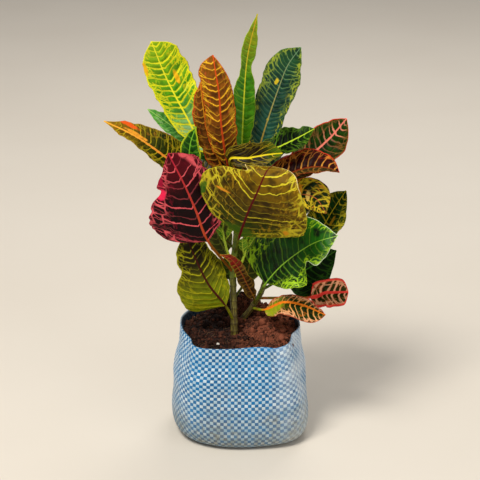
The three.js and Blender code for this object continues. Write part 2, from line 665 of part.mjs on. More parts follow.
const holes = [limb(MAIN, HOLE_CLEARANCE), limb(SIDE, HOLE_CLEARANCE)];
add("grow_bag", growBag(), 0x4f8fc4, BAG_ROUGHNESS);
add("soil", soil(holes), 0x3a1f16, SOIL_ROUGHNESS);
add("stem_main", limb(MAIN), 0x6d7a35, STEM_ROUGHNESS);
add("stem_side", limb(SIDE), 0x5f7a35, STEM_ROUGHNESS);
for (const [name, leaf] of Object.entries({ ...LEAVES, ...BACK_LEAVES })) {
  const whole = { ...USUAL, ...(name in BACK_LEAVES ? BACK : {}), ...leaf };
  const start = seat(whole.stem, whole.from, whole.route[0], whole.stalk);
  add(name, leafGeometry(whole, start), whole.colour, LEAF_ROUGHNESS);
}
for (const [name, shoot] of Object.entries(SHOOTS)) {
  add(name, shootGeometry(shoot), shoot.colour, LEAF_ROUGHNESS);
}

export default croton;
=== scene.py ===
# %% [markdown]
# # A potted croton, dressed for a close look
#
# The object is a young croton in a small grow bag. Its solids come from the frame, at their real size.
# They say where each leaf, stem and wall is, but they are faceted and plain. This lesson replaces
# every one of them with a finer piece of the same form: cloth with real tapes that pass over and
# under each other, loose soil, bark, and leaves with ribs, waves and painted veins.
#
# The first cell loads the frame and notes its box, so that the last cell can tell how far the finer
# pieces stand out of it.

import math
import random
from bisect import bisect_right
from collections import Counter

import bpy
from mathutils import Euler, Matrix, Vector, noise


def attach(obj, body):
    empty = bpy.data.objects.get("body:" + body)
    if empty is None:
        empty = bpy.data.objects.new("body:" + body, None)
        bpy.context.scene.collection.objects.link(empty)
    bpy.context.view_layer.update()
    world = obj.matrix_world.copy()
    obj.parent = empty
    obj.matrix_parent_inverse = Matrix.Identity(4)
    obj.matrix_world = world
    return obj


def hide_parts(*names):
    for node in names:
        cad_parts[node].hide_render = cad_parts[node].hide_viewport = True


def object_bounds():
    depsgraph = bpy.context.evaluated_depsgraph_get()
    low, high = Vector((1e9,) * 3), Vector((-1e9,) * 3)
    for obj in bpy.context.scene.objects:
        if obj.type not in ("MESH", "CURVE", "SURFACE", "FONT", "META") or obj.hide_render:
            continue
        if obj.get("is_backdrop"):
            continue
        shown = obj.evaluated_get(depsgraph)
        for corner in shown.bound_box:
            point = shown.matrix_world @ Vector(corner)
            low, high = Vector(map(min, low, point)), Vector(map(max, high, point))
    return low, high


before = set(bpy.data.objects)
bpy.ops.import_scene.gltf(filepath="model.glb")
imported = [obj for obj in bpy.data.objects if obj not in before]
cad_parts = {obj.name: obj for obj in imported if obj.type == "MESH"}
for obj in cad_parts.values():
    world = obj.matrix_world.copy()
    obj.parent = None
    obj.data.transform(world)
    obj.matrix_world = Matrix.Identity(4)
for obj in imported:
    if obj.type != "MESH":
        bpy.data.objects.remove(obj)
cad_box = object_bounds()
bpy.ops.object.select_all(action="DESELECT")
MM = 0.001
print("nodes in the frame:", len(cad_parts))
print("box in mm:", [[round(c / MM) for c in corner] for corner in cad_box])

# %% [markdown]
# ## Camera, light and floor
#
# The camera stands two metres off and looks down by twenty degrees, as the photographer did. A long
# lens from far away keeps upright things nearly parallel. Daylight from a hazy sky comes from
# everywhere with a soft bright side, so one large lamp at the upper left does the modelling, a weaker
# one at the right opens the shadows, and one behind draws the light rims on the leaves.

# %% Camera
LOOK_AT = Vector((0.001, 0.0, 0.242))
DISTANCE = 2.0
LOOK_DOWN = math.radians(20)
HALF_VIEW = 0.144

away = Vector((0, -math.cos(LOOK_DOWN), math.sin(LOOK_DOWN)))
lens = bpy.data.cameras.new("lens")
lens.angle = 2 * math.atan(HALF_VIEW)
camera = bpy.data.objects.new("camera", lens)
camera.location = LOOK_AT + DISTANCE * away
camera.rotation_euler = (math.pi / 2 - LOOK_DOWN, 0, 0)
bpy.context.scene.collection.objects.link(camera)
bpy.context.scene.camera = camera
bpy.context.scene.view_settings.view_transform = "Standard"
print("camera at", [round(c, 3) for c in camera.location])

# %% Lamps and sky
LAMPS = {
    "key": dict(place=(-0.9, -1.2, 2.6), size=0.9, watts=70, colour=(1.0, 0.95, 0.86)),
    "fill": dict(place=(1.8, -1.6, 1.1), size=1.8, watts=13, colour=(1.0, 0.96, 0.9)),
    "rim": dict(place=(0.5, 1.6, 2.0), size=1.0, watts=18, colour=(1.0, 0.96, 0.9)),
}
for name, lamp in LAMPS.items():
    light = bpy.data.lights.new(name, "AREA")
    light.size = lamp["size"]
    light.energy = lamp["watts"]
    light.color = lamp["colour"]
    holder = bpy.data.objects.new(name, light)
    holder.location = lamp["place"]
    holder.rotation_euler = (LOOK_AT - holder.location).to_track_quat("-Z", "Y").to_euler()
    bpy.context.scene.collection.objects.link(holder)

SKY_COLOUR = (1.0, 0.97, 0.93, 1)
SKY_STRENGTH = 0.31

sky = bpy.data.worlds.new("sky")
sky.use_nodes = True
sky.node_tree.nodes["Background"].inputs["Color"].default_value = SKY_COLOUR
sky.node_tree.nodes["Background"].inputs["Strength"].default_value = SKY_STRENGTH
bpy.context.scene.world = sky
print("lamps:", ", ".join(LAMPS))

# %% [markdown]
# ## Painting with arithmetic
#
# A finish is a network of nodes. Wired by hand, even a stripe takes a dozen lines, so a small class
# wraps a socket and lets Python's own arithmetic add the Math nodes: `1 - stripe * 0.5` is then a real
# piece of network. `Finish.node` adds any other node. Colours are written as on a paint chart, in hex,
# and turned into the linear light that the shader works in.

# %% Colours
def paint(code):
    """A hex colour as linear light, with an alpha of 1."""
    parts = [int(code[k:k + 2], 16) / 255 for k in (0, 2, 4)]
    linear = [((c + 0.055) / 1.055) ** 2.4 if c > 0.04045 else c / 12.92 for c in parts]
    return (*linear, 1.0)


def blend(a, b, share):
    """A colour between two others."""
    return tuple(x + (y - x) * share for x, y in zip(a, b))


print("white is", paint("ffffff"))


# %% A socket that arithmetic works on
class Field:
    """A value that varies over a surface."""

    def __init__(self, finish, socket):
        self.finish = finish
        self.socket = socket

    def math(self, operation, *others):
        inputs = dict(enumerate((self, *others)))
        return self.finish.node("ShaderNodeMath", {"operation": operation}, inputs)

    def __add__(self, other):
        return self.math("ADD", other)

    def __sub__(self, other):
        return self.math("SUBTRACT", other)

    def __rsub__(self, other):
        return (self * -1).math("ADD", other)

    def __mul__(self, other):
        return self.math("MULTIPLY", other)

    def __truediv__(self, other):
        return self.math("DIVIDE", other)

    def __abs__(self):
        return self.math("ABSOLUTE")

    __radd__ = __add__
    __rmul__ = __mul__

    def between(self, low, high):
        """0 below low and 1 above high, with a soft step from one to the other."""
        inputs = {"Value": self, "From Min": low, "From Max": high}
        return self.finish.node("ShaderNodeMapRange", {"interpolation_type": "SMOOTHSTEP"}, inputs)


# %% A finish
COAT_ROUGHNESS = 0.22
MIX_SHARE, MIX_A, MIX_B = 0, 6, 7  # The Mix node's sockets for colours.
MIXED = 2


class Finish:
    """A material whose network is written as Python."""

    def __init__(self, name, coat=0.0, specular=0.5):
        self.material = bpy.data.materials.new(name)
        self.material.use_nodes = True
        self.tree = self.material.node_tree
        self.shader = self.tree.nodes["Principled BSDF"]
        self.shader.inputs["Coat Weight"].default_value = coat
        self.shader.inputs["Coat Roughness"].default_value = COAT_ROUGHNESS
        self.shader.inputs["Specular IOR Level"].default_value = specular

    def node(self, kind, settings=None, inputs=None, output=0):
        """Adds a node with its settings and the values or links of its sockets."""
        made = self.tree.nodes.new(kind)
        for key, value in (settings or {}).items():
            setattr(made, key, value)
        for key, value in (inputs or {}).items():
            if isinstance(value, Field):
                self.tree.links.new(value.socket, made.inputs[key])
            else:
                made.inputs[key].default_value = value
        return Field(self, made.outputs[output])

    def split(self, vector):
        """The three parts of a vector."""
        first = self.node("ShaderNodeSeparateXYZ", inputs={"Vector": vector})
        return [Field(self, socket) for socket in first.socket.node.outputs]

    def place(self):
        """Where the surface is, in the frame's metres."""
        return self.node("ShaderNodeTexCoord", output="Object")

    def attribute(self, name):
        """The three numbers that the mesh keeps under a name."""
        return self.split(self.node("ShaderNodeAttribute", {"attribute_name": name}, output="Vector"))

    def cloud(self, size, vector=None, detail=2.0):
        """Soft noise with lumps of about that size, from 0 to 1."""
        inputs = {"Vector": vector or self.place(), "Scale": 1 / size, "Detail": detail}
        return self.node("ShaderNodeTexNoise", inputs=inputs, output="Fac")

    def stack(self, x, y, z=0.0):
        return self.node("ShaderNodeCombineXYZ", inputs={"X": x, "Y": y, "Z": z})

    def chance(self, x, y=0.0):
        """A random number from 0 to 1 for each pair of whole numbers."""
        inputs = {"Vector": self.stack(x, y)}
        return self.node("ShaderNodeTexWhiteNoise", {"noise_dimensions": "3D"}, inputs)

    def mix(self, share, a, b):
        """Colour a where share is 0, and colour b where it is 1."""
        inputs = {MIX_SHARE: share, MIX_A: a, MIX_B: b}
        return self.node("ShaderNodeMix", {"data_type": "RGBA"}, inputs, output=MIXED)

    def set(self, name, value):
        if isinstance(value, Field):
            self.tree.links.new(value.socket, self.shader.inputs[name])
        else:
            self.shader.inputs[name].default_value = value

    def bump(self, height, depth):
        """Raises the surface by height times depth, in metres."""
        inputs = {"Height": height, "Distance": depth, "Strength": 1.0}
        self.set("Normal", self.node("ShaderNodeBump", inputs=inputs))


print("a finish is ready to be written")

# %% [markdown]
# ## Floor
#
# A plain pale floor, large enough to fill the view from the front and from above. A trace of
# unevenness in its tone and its gloss keeps it from looking like a hole in the picture.

# %% Floor
FLOOR_SIZE = 14.0

bpy.ops.mesh.primitive_plane_add(size=FLOOR_SIZE)
floor = bpy.context.active_object
floor.name = "floor"
plaster = Finish("pale_floor", specular=0.2)
plaster.set("Base Color", plaster.mix(plaster.cloud(0.3), paint("d9d2c8"), paint("dfd9d0")))
plaster.set("Roughness", plaster.cloud(0.08) * 0.1 + 0.75)
floor.data.materials.append(plaster.material)
floor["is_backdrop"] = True
print("floor of", FLOOR_SIZE, "m")

# %% [markdown]
# ## Smooth routes and wrapped grids
#
# Stems, stalks, midribs and the bag's profile all follow a few given points. `Path` draws a smooth
# curve through them, the same curve that the solids were made with. Most of the forms here are thin
# skins: cloth, blades, bark. A skin is easiest as a flat grid that is wrapped into its form, because
# the grid keeps its flat coordinates, and a weave or a vein can later follow them. The grid is a
# primitive, its corners are moved by a formula, and its seam and ends are welded in edit mode.

# %% A smooth route
SPAN = 60
CLOSE = 0.001


def smooth(x):
    x = min(max(x, 0), 1)
    return x * x * (3 - 2 * x)


def bell(x, width):
    return math.exp(-((x / width) ** 2))


def between(a, b, share):
    return a + (b - a) * share


class Path:
    """A smooth curve through points, measured along its length."""

    def __init__(self, points):
        self.points = [Vector(p) for p in points]
        self.spans = len(points) - 1
        self.lengths = [0.0]
        last = self.points[0]
        for k in range(1, self.spans * SPAN + 1):
            here = self.place(k / SPAN)
            self.lengths.append(self.lengths[-1] + (here - last).length)
            last = here

    def place(self, t):
        """The place at t, which grows by 1 from each point to the next."""
        k = min(max(int(t), 0), self.spans - 1)
        f = t - k
        a = self.points[k]
        b = self.points[k + 1]
        before = self.points[k - 1] if k > 0 else 2 * a - b
        after = self.points[k + 2] if k + 2 <= self.spans else 2 * b - a
        leave = (b - before) / 2
        arrive = (after - a) / 2
        square = 3 * (b - a) - 2 * leave - arrive
        cube = 2 * (a - b) + leave + arrive
        return a + leave * f + square * f ** 2 + cube * f ** 3

    def heading(self, t):
        return (self.place(t + CLOSE) - self.place(t - CLOSE)).normalized()

    def along(self, share):
        """The t at a share of the whole length."""
        wanted = share * self.lengths[-1]
        k = min(bisect_right(self.lengths, wanted) - 1, len(self.lengths) - 2)
        step = self.lengths[k + 1] - self.lengths[k]
        return (k + (wanted - self.lengths[k]) / step) / SPAN


print("a straight path of 3 m measures", Path([(0, 0, 0), (1, 0, 0), (3, 0, 0)]).lengths[-1])


# %% A wrapped grid
def wrap(name, across, along, place, marks=()):
    """A grid whose corners go to place(x, y), in millimetres, with x and y from 0 to 1.

    place returns a point, and after it a vector for each name in marks, which the mesh keeps."""
    bpy.ops.mesh.primitive_grid_add(x_subdivisions=across, y_subdivisions=along, size=1)
    piece = bpy.context.active_object
    piece.name = name
    mesh = piece.data
    kept = {mark: [] for mark in marks}
    for corner in mesh.vertices:
        where, *values = place(corner.co.x + 0.5, corner.co.y + 0.5)
        corner.co = where * MM
        for mark, value in zip(marks, values):
            kept[mark].extend(value)
    for mark, values in kept.items():
        mesh.attributes.new(mark, "FLOAT_VECTOR", "POINT").data.foreach_set("vector", values)
    return piece


def weld(piece, fill=True):
    """Joins the seam of a wrapped grid, closes its open ends and turns its faces outwards."""
    bpy.context.view_layer.objects.active = piece
    bpy.ops.object.mode_set(mode="EDIT")
    bpy.ops.mesh.select_all(action="SELECT")
    bpy.ops.mesh.remove_doubles(threshold=MM * CLOSE)
    if fill:
        bpy.ops.mesh.fill_holes(sides=0)
    bpy.ops.mesh.normals_make_consistent(inside=False)
    bpy.ops.object.mode_set(mode="OBJECT")


def join(pieces):
    """Joins pieces into the first one."""
    bpy.ops.object.select_all(action="DESELECT")
    for piece in pieces:
        piece.select_set(True)
    bpy.context.view_layer.objects.active = pieces[0]
    bpy.ops.object.join()
    return pieces[0]


def open_edges(piece):
    """How many edges don't have exactly two faces."""
    uses = Counter(key for face in piece.data.polygons for key in face.edge_keys)
    return sum(1 for count in uses.values() if count != 2)


def hand_over(piece, finish, *nodes):
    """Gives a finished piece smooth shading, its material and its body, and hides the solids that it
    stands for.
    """
    bpy.ops.object.select_all(action="DESELECT")
    piece.select_set(True)
    bpy.context.view_layer.objects.active = piece
    bpy.ops.object.shade_smooth()
    piece.data.materials.clear()
    piece.data.materials.append(finish.material)
    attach(piece, "root")
    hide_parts(*nodes)
    piece.select_set(False)
    print(piece.name, "has", len(piece.data.polygons), "faces and", open_edges(piece), "open edges")


# %% [markdown]
# ## The bag
#
# The bag is woven from flat plastic tapes, white ones that run round it and blue ones that run up.
# Each passes over one and under the next, which gives the checks. From afar the checks have to be in
# the right place, and seen closer the cloth needs real relief. So the grid has three faces for each
# check, and each check is a small pillow of its own. The tapes are laid out along the length of the
# profile, as the flat cloth was before it was sewn.

# %% The bag's form
BAG_HEIGHT = 135.0
BAG_OUTLINE = [(66, 0), (75, 3), (80.5, 10), (83.2, 22), (82.5, 48), (79.8, 84), (76.2, 112), (74.2, 134)]
RIM_FOLD = [(73.9, 135.4), (73.0, 135.8), (72.0, 134.6), (71.6, 130), (71.6, 122), (72.4, 108)]
FOOT = 66.0
FLOOR_EDGE = 58
RIM_SHIFT = 0.6
SQUARENESS = 3.6
FOOT_SHARE = 0.25
CORNER = dict(angle=-0.62, depth=9.0, width=0.42, height=60.0)
CREASE = dict(angle=-2.5, depth=3.0, width=0.16)
PLEAT = dict(angle=-0.99, depth=5.0, width=0.12, dip=4.0)
PINCHES = [dict(angle=-0.5, depth=10.0, width=0.34), dict(angle=-2.62, depth=9.0, width=0.32)]
SLACK = dict(depth=0.9, folds=7, start=1.0)
RIM_TIP = (-1.5, -2.0)
RIM_DROP = 3.0
RIM_DIP = dict(angle=-2.3, depth=5.0, width=0.55)
BACK_DENT = 14.0
DENT_POWER = 1.3
BACK_SQUARE = 0.35
BACK_RISE = 8.0
RIM_WAVE = dict(height=0.8, count=5, start=0.6)
RISE_STARTS = 60.0


def turned(angle):
    """The same angle, from -pi to pi."""
    return math.atan2(math.sin(angle), math.cos(angle))


def ridge(angle, form):
    """1 at the angle of a form, and less to both sides of it."""
    return bell(turned(angle - form["angle"]), form["width"])


def outline_radius(height):
    """Half width of the bag's outside at a height."""
    for (r0, z0), (r1, z1) in zip(BAG_OUTLINE, BAG_OUTLINE[1:]):
        if height <= z1:
            return between(r0, r1, (max(height, z0) - z0) / (z1 - z0))
    return BAG_OUTLINE[-1][0]


def bag_bulge(angle, height):
    """How far the filled bag stands out of round."""
    level = max(height, 0) / BAG_HEIGHT
    across = abs(math.cos(angle)) ** SQUARENESS + abs(math.sin(angle)) ** SQUARENESS
    square = across ** (-1 / SQUARENESS) - 1
    back = max(math.sin(angle), 0) * smooth(level)
    share = between(FOOT_SHARE, 1, level) * between(1, BACK_SQUARE, back)
    sides = outline_radius(height) * square * share
    corner = CORNER["depth"] * ridge(angle, CORNER) * bell(height, CORNER["height"])
    crease = CREASE["depth"] * ridge(angle, CREASE) * smooth(level) ** 2
    pleat = PLEAT["depth"] * ridge(angle, PLEAT) * level ** 4
    pinch = sum(form["depth"] * ridge(angle, form) for form in PINCHES) * level ** 7
    slack = SLACK["depth"] * math.sin(SLACK["folds"] * angle + SLACK["start"]) * level ** 3
    return sides + corner - crease - pleat - pinch + slack - BACK_DENT * back ** DENT_POWER


def rim_rise(angle):
    """How far the rim stands above or below its usual height."""
    tip = RIM_TIP[0] * math.sin(angle) + RIM_TIP[1] * math.cos(angle)
    wave = RIM_WAVE["height"] * math.sin(RIM_WAVE["count"] * angle + RIM_WAVE["start"])
    back = BACK_RISE * max(math.sin(angle), 0) ** 2
    dips = PLEAT["dip"] * ridge(angle, PLEAT) + RIM_DIP["depth"] * ridge(angle, RIM_DIP)
    return tip + wave + back - dips - RIM_DROP


def wall_rise(angle, height):
    return rim_rise(angle) * smooth((height - RISE_STARTS) / (BAG_HEIGHT - RISE_STARTS))


def bag_place(angle, radius, height):
    """Where a point of a round bag goes on the filled, leaning, crumpled one."""
    out = radius + bag_bulge(angle, height) * smooth(radius / FOOT) ** 2
    lean = RIM_SHIFT * smooth(height / BAG_HEIGHT)
    rise = wall_rise(angle, height)
    return Vector((out * math.cos(angle) + lean, out * math.sin(angle), height + rise))


print("half width at the belly:", outline_radius(30), "mm")

# %% The weave
TAPES_ROUND = 126
FACES_PER_TAPE = 3
TAPE = 4.0
PILLOW = 0.42
SETTLES = 12.0
CRUMPLES = [(34.0, 1.8), (14.0, 0.9)]
CRUMPLE_SHARE = (0.5, 1.2)

profile = Path([(r, 0, z) for r, z in [(FLOOR_EDGE, 0), *BAG_OUTLINE, *RIM_FOLD]])
tapes_up = round(profile.lengths[-1] / TAPE)


def crumple(place, level):
    """Small dents of handling, stronger towards the rim."""
    dent = sum(depth * noise.noise(place / size) for size, depth in CRUMPLES)
    return dent * between(*CRUMPLE_SHARE, smooth(level))


def cloth_place(x, y):
    """Wraps the flat cloth: x runs round the bag, and y from its floor up and over the rim."""
    angle = 2 * math.pi * x
    t = profile.along(y)
    point = profile.place(t)
    heading = profile.heading(t)
    over_round = abs(math.sin(math.pi * x * TAPES_ROUND))
    over_up = abs(math.sin(math.pi * y * tapes_up))
    clear_of_floor = smooth(point.z / SETTLES)
    pillow = PILLOW * (over_round * over_up - 0.5) * clear_of_floor
    level = point.z / BAG_HEIGHT
    rough = Vector((math.cos(angle) * FOOT, math.sin(angle) * FOOT, point.z))
    dent = crumple(rough, level) * clear_of_floor
    place = bag_place(angle, point.x + heading.z * pillow + dent, point.z - heading.x * pillow)
    place.z = max(place.z, 0)
    return (place,)


cloth = wrap("woven_bag", TAPES_ROUND * FACES_PER_TAPE, tapes_up * FACES_PER_TAPE, cloth_place)
print("tapes round:", TAPES_ROUND, "and up:", tapes_up)

# %% [markdown]
# The cloth is open under the foot and ends inside the soil. The foot is closed with one flat face.
# Inside, the wall is drawn on down to the floor by extruding its edge, as in edit mode by hand, so
# that the bag is a real vessel and not a paper ring.

# %% Inside of the bag
INNER_STEPS = [(-30, 1.02), (-40, 1.0), (-26, 0.9), (-6, 0.9)]


def select_open_edges(piece, above):
    """Selects the open edges that lie above a height."""
    bpy.ops.object.mode_set(mode="EDIT")
    bpy.ops.mesh.select_mode(type="EDGE")
    bpy.ops.mesh.select_all(action="DESELECT")
    bpy.ops.mesh.select_non_manifold(extend=False, use_boundary=True, use_wire=False)
    bpy.ops.object.mode_set(mode="OBJECT")
    corners = piece.data.vertices
    for edge in piece.data.edges:
        middle = (corners[edge.vertices[0]].co + corners[edge.vertices[1]].co) / 2
        edge.select = edge.select and middle.z > above * MM
    bpy.ops.object.mode_set(mode="EDIT")


def draw_down(piece, above, steps):
    """Extrudes the open edges above a height down in steps of (drop, widening), and closes the end."""
    weld(piece, fill=False)
    select_open_edges(piece, above)
    for drop, widen in steps:
        bpy.ops.mesh.extrude_edges_move(TRANSFORM_OT_translate={"value": (0, 0, drop * MM)})
        bpy.ops.transform.resize(value=(widen, widen, 1), center_override=(RIM_SHIFT * MM, 0, 0))
    bpy.ops.object.mode_set(mode="OBJECT")
    weld(piece)


draw_down(cloth, BAG_HEIGHT / 2, INNER_STEPS)
print("open edges of the bag:", open_edges(cloth))

# %% [markdown]
# The tape's colour comes from the grid's own flat coordinates: counted in tapes, whole numbers are
# tapes, and an even sum of the two counts means that the upright blue tape is on top. Every tape gets
# its own tint. A tape curves down where it goes under the next, so towards its corners each check
# takes on some of its neighbours' colour. Dust lies on the lower part, and the cut edge at the left of
# the rim is white. Painted light makes both sides lighter and brightens patches near the rim, and
# painted shade darkens the inside of the wall. Fine lines along each tape are where the film was drawn
# out.

# %% Woven finish
BLUE = [paint("005894"), paint("0080c4")]
BRIGHT = paint("1c9cf0")
WHITE = [paint("8cbcdc"), paint("d8eaf6")]
GAP = paint("0a4a80")
SHADOW = paint("0c1420")
DUST = paint("8a8468")
SIDE_LIGHT_COLOUR = paint("e8f0f6")
LIT_BAND = (0.124, 0.134)
LIT_SIDE = (-0.01, 0.04)
LIGHTER_LEFT = (-0.085, -0.05)
LIGHTER_RIGHT = (0.03, 0.07)
DUST_TOP = 0.085
DUST_WANDER = 0.09
CUT_EDGE = (0.1332, 0.1342)
CUT_SIDE = (-0.052, -0.04)
TAPES_INSIDE = (8, 6.5)
TAPE_RELIEF = 0.00012


def woven_checks(weave, round_it, up_it):
    """The colour of the checks, which of them are white, and their borders."""
    column = round_it.math("FLOOR")
    row = up_it.math("FLOOR")
    checks = (column + row).math("MODULO", 2)
    across = abs(round_it.math("FRACT") - 0.5)
    upward = abs(up_it.math("FRACT") - 0.5)
    border = across.math("MAXIMUM", upward).between(0.40, 0.5)
    corner = across.math("POWER", 4) + upward.math("POWER", 4)
    halo = corner.math("POWER", 0.25).between(0.45, 0.56)
    each = weave.chance(column, row)
    blue = weave.mix(weave.chance(column, 0.5) * 0.6 + each * 0.4, *BLUE)
    white = weave.mix(weave.chance(0.5, row) * 0.6 + each * 0.4, *WHITE)
    colour = weave.mix(checks, blue, white)
    colour = weave.mix((1 - checks) * halo * 0.35, colour, white)
    colour = weave.mix(checks * halo * 0.45, colour, blue)
    return weave.mix(checks * border * 0.3, colour, GAP), checks, border


def woven_wear(weave, colour, up_it):
    """What lies over the checks: painted light near the rim and on both sides, dust and grime, the white
    cut edge, and painted shade on the inside of the wall.
    """
    side, _, height = weave.split(weave.place())
    lit = height.between(*LIT_BAND) * weave.cloud(0.02).between(0.4, 0.6) * side.between(*LIT_SIDE)
    colour = weave.mix(lit * 0.6, colour, BRIGHT)
    # Both sides of the bag are painted lighter: painted light.
    sides = side.between(*LIGHTER_RIGHT).math("MAXIMUM", 0.5 - 0.5 * side.between(*LIGHTER_LEFT))
    painted_side_light = sides * weave.cloud(0.03).between(0.25, 0.7) * 0.6
    colour = weave.mix(painted_side_light, colour, SIDE_LIGHT_COLOUR)
    low = 1 - (height + (weave.cloud(0.035) - 0.5) * DUST_WANDER).between(0.0, DUST_TOP)
    grime = weave.cloud(0.006, detail=4).between(0.3, 0.75)
    colour = weave.mix(low * (0.35 + 0.4 * grime) + grime * 0.05, colour, DUST)
    cut_edge = height.between(*CUT_EDGE) * (1 - side.between(*CUT_SIDE))
    colour = weave.mix(cut_edge * 0.8, colour, WHITE[1])
    # The inside of the wall is painted nearly black: painted shade.
    inside = up_it.between(*(tapes_up - count for count in TAPES_INSIDE))
    return weave.mix(inside * 0.92, colour, SHADOW), low, grime


def woven_finish():
    weave = Finish("woven_tape", coat=0.03, specular=0.2)
    flat = weave.node("ShaderNodeTexCoord", output="UV")
    counts = {"Vector": flat, "Scale": (TAPES_ROUND, tapes_up, 1)}
    round_it, up_it, _ = weave.split(weave.node("ShaderNodeMapping", inputs=counts))
    colour, checks, border = woven_checks(weave, round_it, up_it)
    colour, low, grime = woven_wear(weave, colour, up_it)
    weave.set("Base Color", colour)
    weave.set("Roughness", 0.34 + low * 0.3 + grime * 0.12)
    lines_up = weave.cloud(1.0, weave.stack(round_it * 9, up_it * 0.4))
    lines_round = weave.cloud(1.0, weave.stack(round_it * 0.4, up_it * 9))
    lines = lines_up + checks * (lines_round - lines_up)
    weave.bump(lines - border * 1.5, TAPE_RELIEF)
    return weave


hand_over(cloth, woven_finish(), "grow_bag")

# %% [markdown]
# ## The soil
#
# Coco peat is a heap of crumbs and short fibres. Its surface is a fine grid with lumps of three sizes,
# drawn over a round form, which a square grid fits without a pole when its corners are rounded off.
# Loose crumbs are copies of a few lumps, each turned and scaled at random from a fixed seed, and so
# are the fibres. They are gathered into one piece with the surface that they lie on.

# %% The soil's form
SOIL_LEVEL = 126.0
SOIL_EDGE = 2.0
SOIL_CELLS = 150
SOIL_STEPS = [(-20, 1.0), (-62, 0.97), (-36, 0.9)]
SOIL_MOUND = dict(x=38.0, y=30.0, height=14.0, width=28.0, depth=28.0)
SOIL_BANK = dict(x=-2.0, y=57.0, height=25.0, width=36.0, depth=20.0)
SOIL_HOLLOW = dict(x=-30.0, y=0.0, height=-3.0, width=34.0, depth=34.0)
EDGE_START = 60.0
EDGE_SLUMP = 1.6
EDGE_SHARE = 0.35
EDGE_FOLLOW = 0.5
LUMPS = [(11.0, 2.6), (5.2, 1.5), (2.6, 0.7)]
TINT_SIZE = 15


def lumpiness(place):
    """Rounded clods of three sizes, in millimetres."""
    total = 0
    for size, height in LUMPS:
        nearest = noise.voronoi(place / size)[0]
        total += height * (nearest[1] - nearest[0] - 0.4)
    return total


def heap(form, x, y):
    """The height of a round heap at a place."""
    return form["height"] * bell(x - form["x"], form["width"]) * bell(y - form["y"], form["depth"])


def soil_height(x, y, share):
    """The soil's level. Its heaps run out before they reach the wall."""
    reach = outline_radius(SOIL_LEVEL) - EDGE_START
    edge = smooth((math.hypot(x, y) - EDGE_START) / reach)
    heaps = (heap(SOIL_MOUND, x, y) + heap(SOIL_BANK, x, y)) * between(1, EDGE_SHARE, edge)
    slump = EDGE_SLUMP * smooth(share) ** 4 - EDGE_FOLLOW * rim_rise(math.atan2(y, x))
    calm = 1 - 0.5 * smooth(share) ** 6
    lumps = calm * lumpiness(Vector((x, y, 0)))
    return SOIL_LEVEL + heaps + heap(SOIL_HOLLOW, x, y) - slump + lumps


def soil_spot(a, b):
    """The soil's surface for a and b from -1 to 1, as a square rounded off to the bag's inside."""
    x = a * math.sqrt(1 - b * b / 2)
    y = b * math.sqrt(1 - a * a / 2)
    share = math.hypot(x, y)
    angle = math.atan2(y, x)
    radius = share * (outline_radius(SOIL_LEVEL) - SOIL_EDGE)
    height = soil_height(radius * math.cos(angle), radius * math.sin(angle), share)
    reach = radius + bag_bulge(angle, SOIL_LEVEL) * smooth(radius / FOOT) ** 2
    lean = RIM_SHIFT * smooth(SOIL_LEVEL / BAG_HEIGHT)
    return Vector((reach * math.cos(angle) + lean, reach * math.sin(angle), height))


def soil_place(x, y):
    spot = soil_spot(2 * x - 1, 2 * y - 1)
    flat = Vector((spot.x, spot.y, 0))
    return spot, (lumpiness(flat), 0.5 + 0.5 * noise.noise(spot / TINT_SIZE), 0)


soil = wrap("coco_soil", SOIL_CELLS, SOIL_CELLS, soil_place, ["grain"])
draw_down(soil, 0, SOIL_STEPS)
print("the soil rises to", round(max(v.co.z for v in soil.data.vertices) / MM, 1), "mm")

# %% Loose crumbs and fibres
CRUMBS = 1200
FIBRES = 170
CRUMB_SIZE = (0.7, 2.6)
CLOD_SIZE = (3.0, 5.5)
CRUMB_SHAPE = (0.6, 1.2)
CRUMB_SUNK = 0.25
CRUMB_DENT = dict(depth=0.5, size=1.3, apart=7)
CLOD_CHANCE = (0.04, 0.1)
PALE_CHANCE = 0.004
FIBRE_LENGTH = (6.0, 16.0)
FIBRE_RADIUS = 0.13
FIBRE_BOW = 2.5
SPREAD = 0.97
STEM_FOOT = (-6, -5)
STEM_CLEARANCE = 7
FULL_TURN = 6.28
draw = random.Random(11)


def crumb(number):
    """One lump, as a model for many: a small ball, dented."""
    bpy.ops.mesh.primitive_ico_sphere_add(subdivisions=2, radius=1)
    lump = bpy.context.active_object
    place = Vector((number * CRUMB_DENT["apart"], 0, 0))
    for corner in lump.data.vertices:
        dent = 1 + CRUMB_DENT["depth"] * noise.noise(corner.co * CRUMB_DENT["size"] + place)
        corner.co = corner.co * dent
    return lump


def fibre():
    """A straight thin strand along X, one unit long, which is bent when it is copied."""

    def place(x, y):
        angle = 2 * math.pi * x
        strand = Vector((y - 0.5, FIBRE_RADIUS * math.cos(angle), FIBRE_RADIUS * math.sin(angle)))
        return (strand / MM,)

    strand = wrap("strand", 4, 6, place)
    weld(strand)
    return strand


def gather(model, place_all):
    """Copies a model's corners and faces once for each function in place_all."""
    corners = []
    faces = []
    tones = []
    count = len(model.data.vertices)
    for k, (place, tone) in enumerate(place_all):
        corners.extend(place(v.co) * MM for v in model.data.vertices)
        faces.extend([i + k * count for i in p.vertices] for p in model.data.polygons)
        tones.extend(tone * count)
    mesh = bpy.data.meshes.new("scatter")
    mesh.from_pydata(corners, [], faces)
    mesh.attributes.new("grain", "FLOAT_VECTOR", "POINT").data.foreach_set("vector", tones)
    piece = bpy.data.objects.new("scatter", mesh)
    bpy.context.scene.collection.objects.link(piece)
    bpy.data.objects.remove(model)
    return piece


# %% Where they lie
def spot_on_soil():
    """A random place on the soil, clear of the main stem."""
    while True:
        a = draw.uniform(-SPREAD, SPREAD)
        b = draw.uniform(-SPREAD, SPREAD)
        spot = soil_spot(a, b)
        if math.dist(spot.xy, STEM_FOOT) > STEM_CLEARANCE:
            return spot


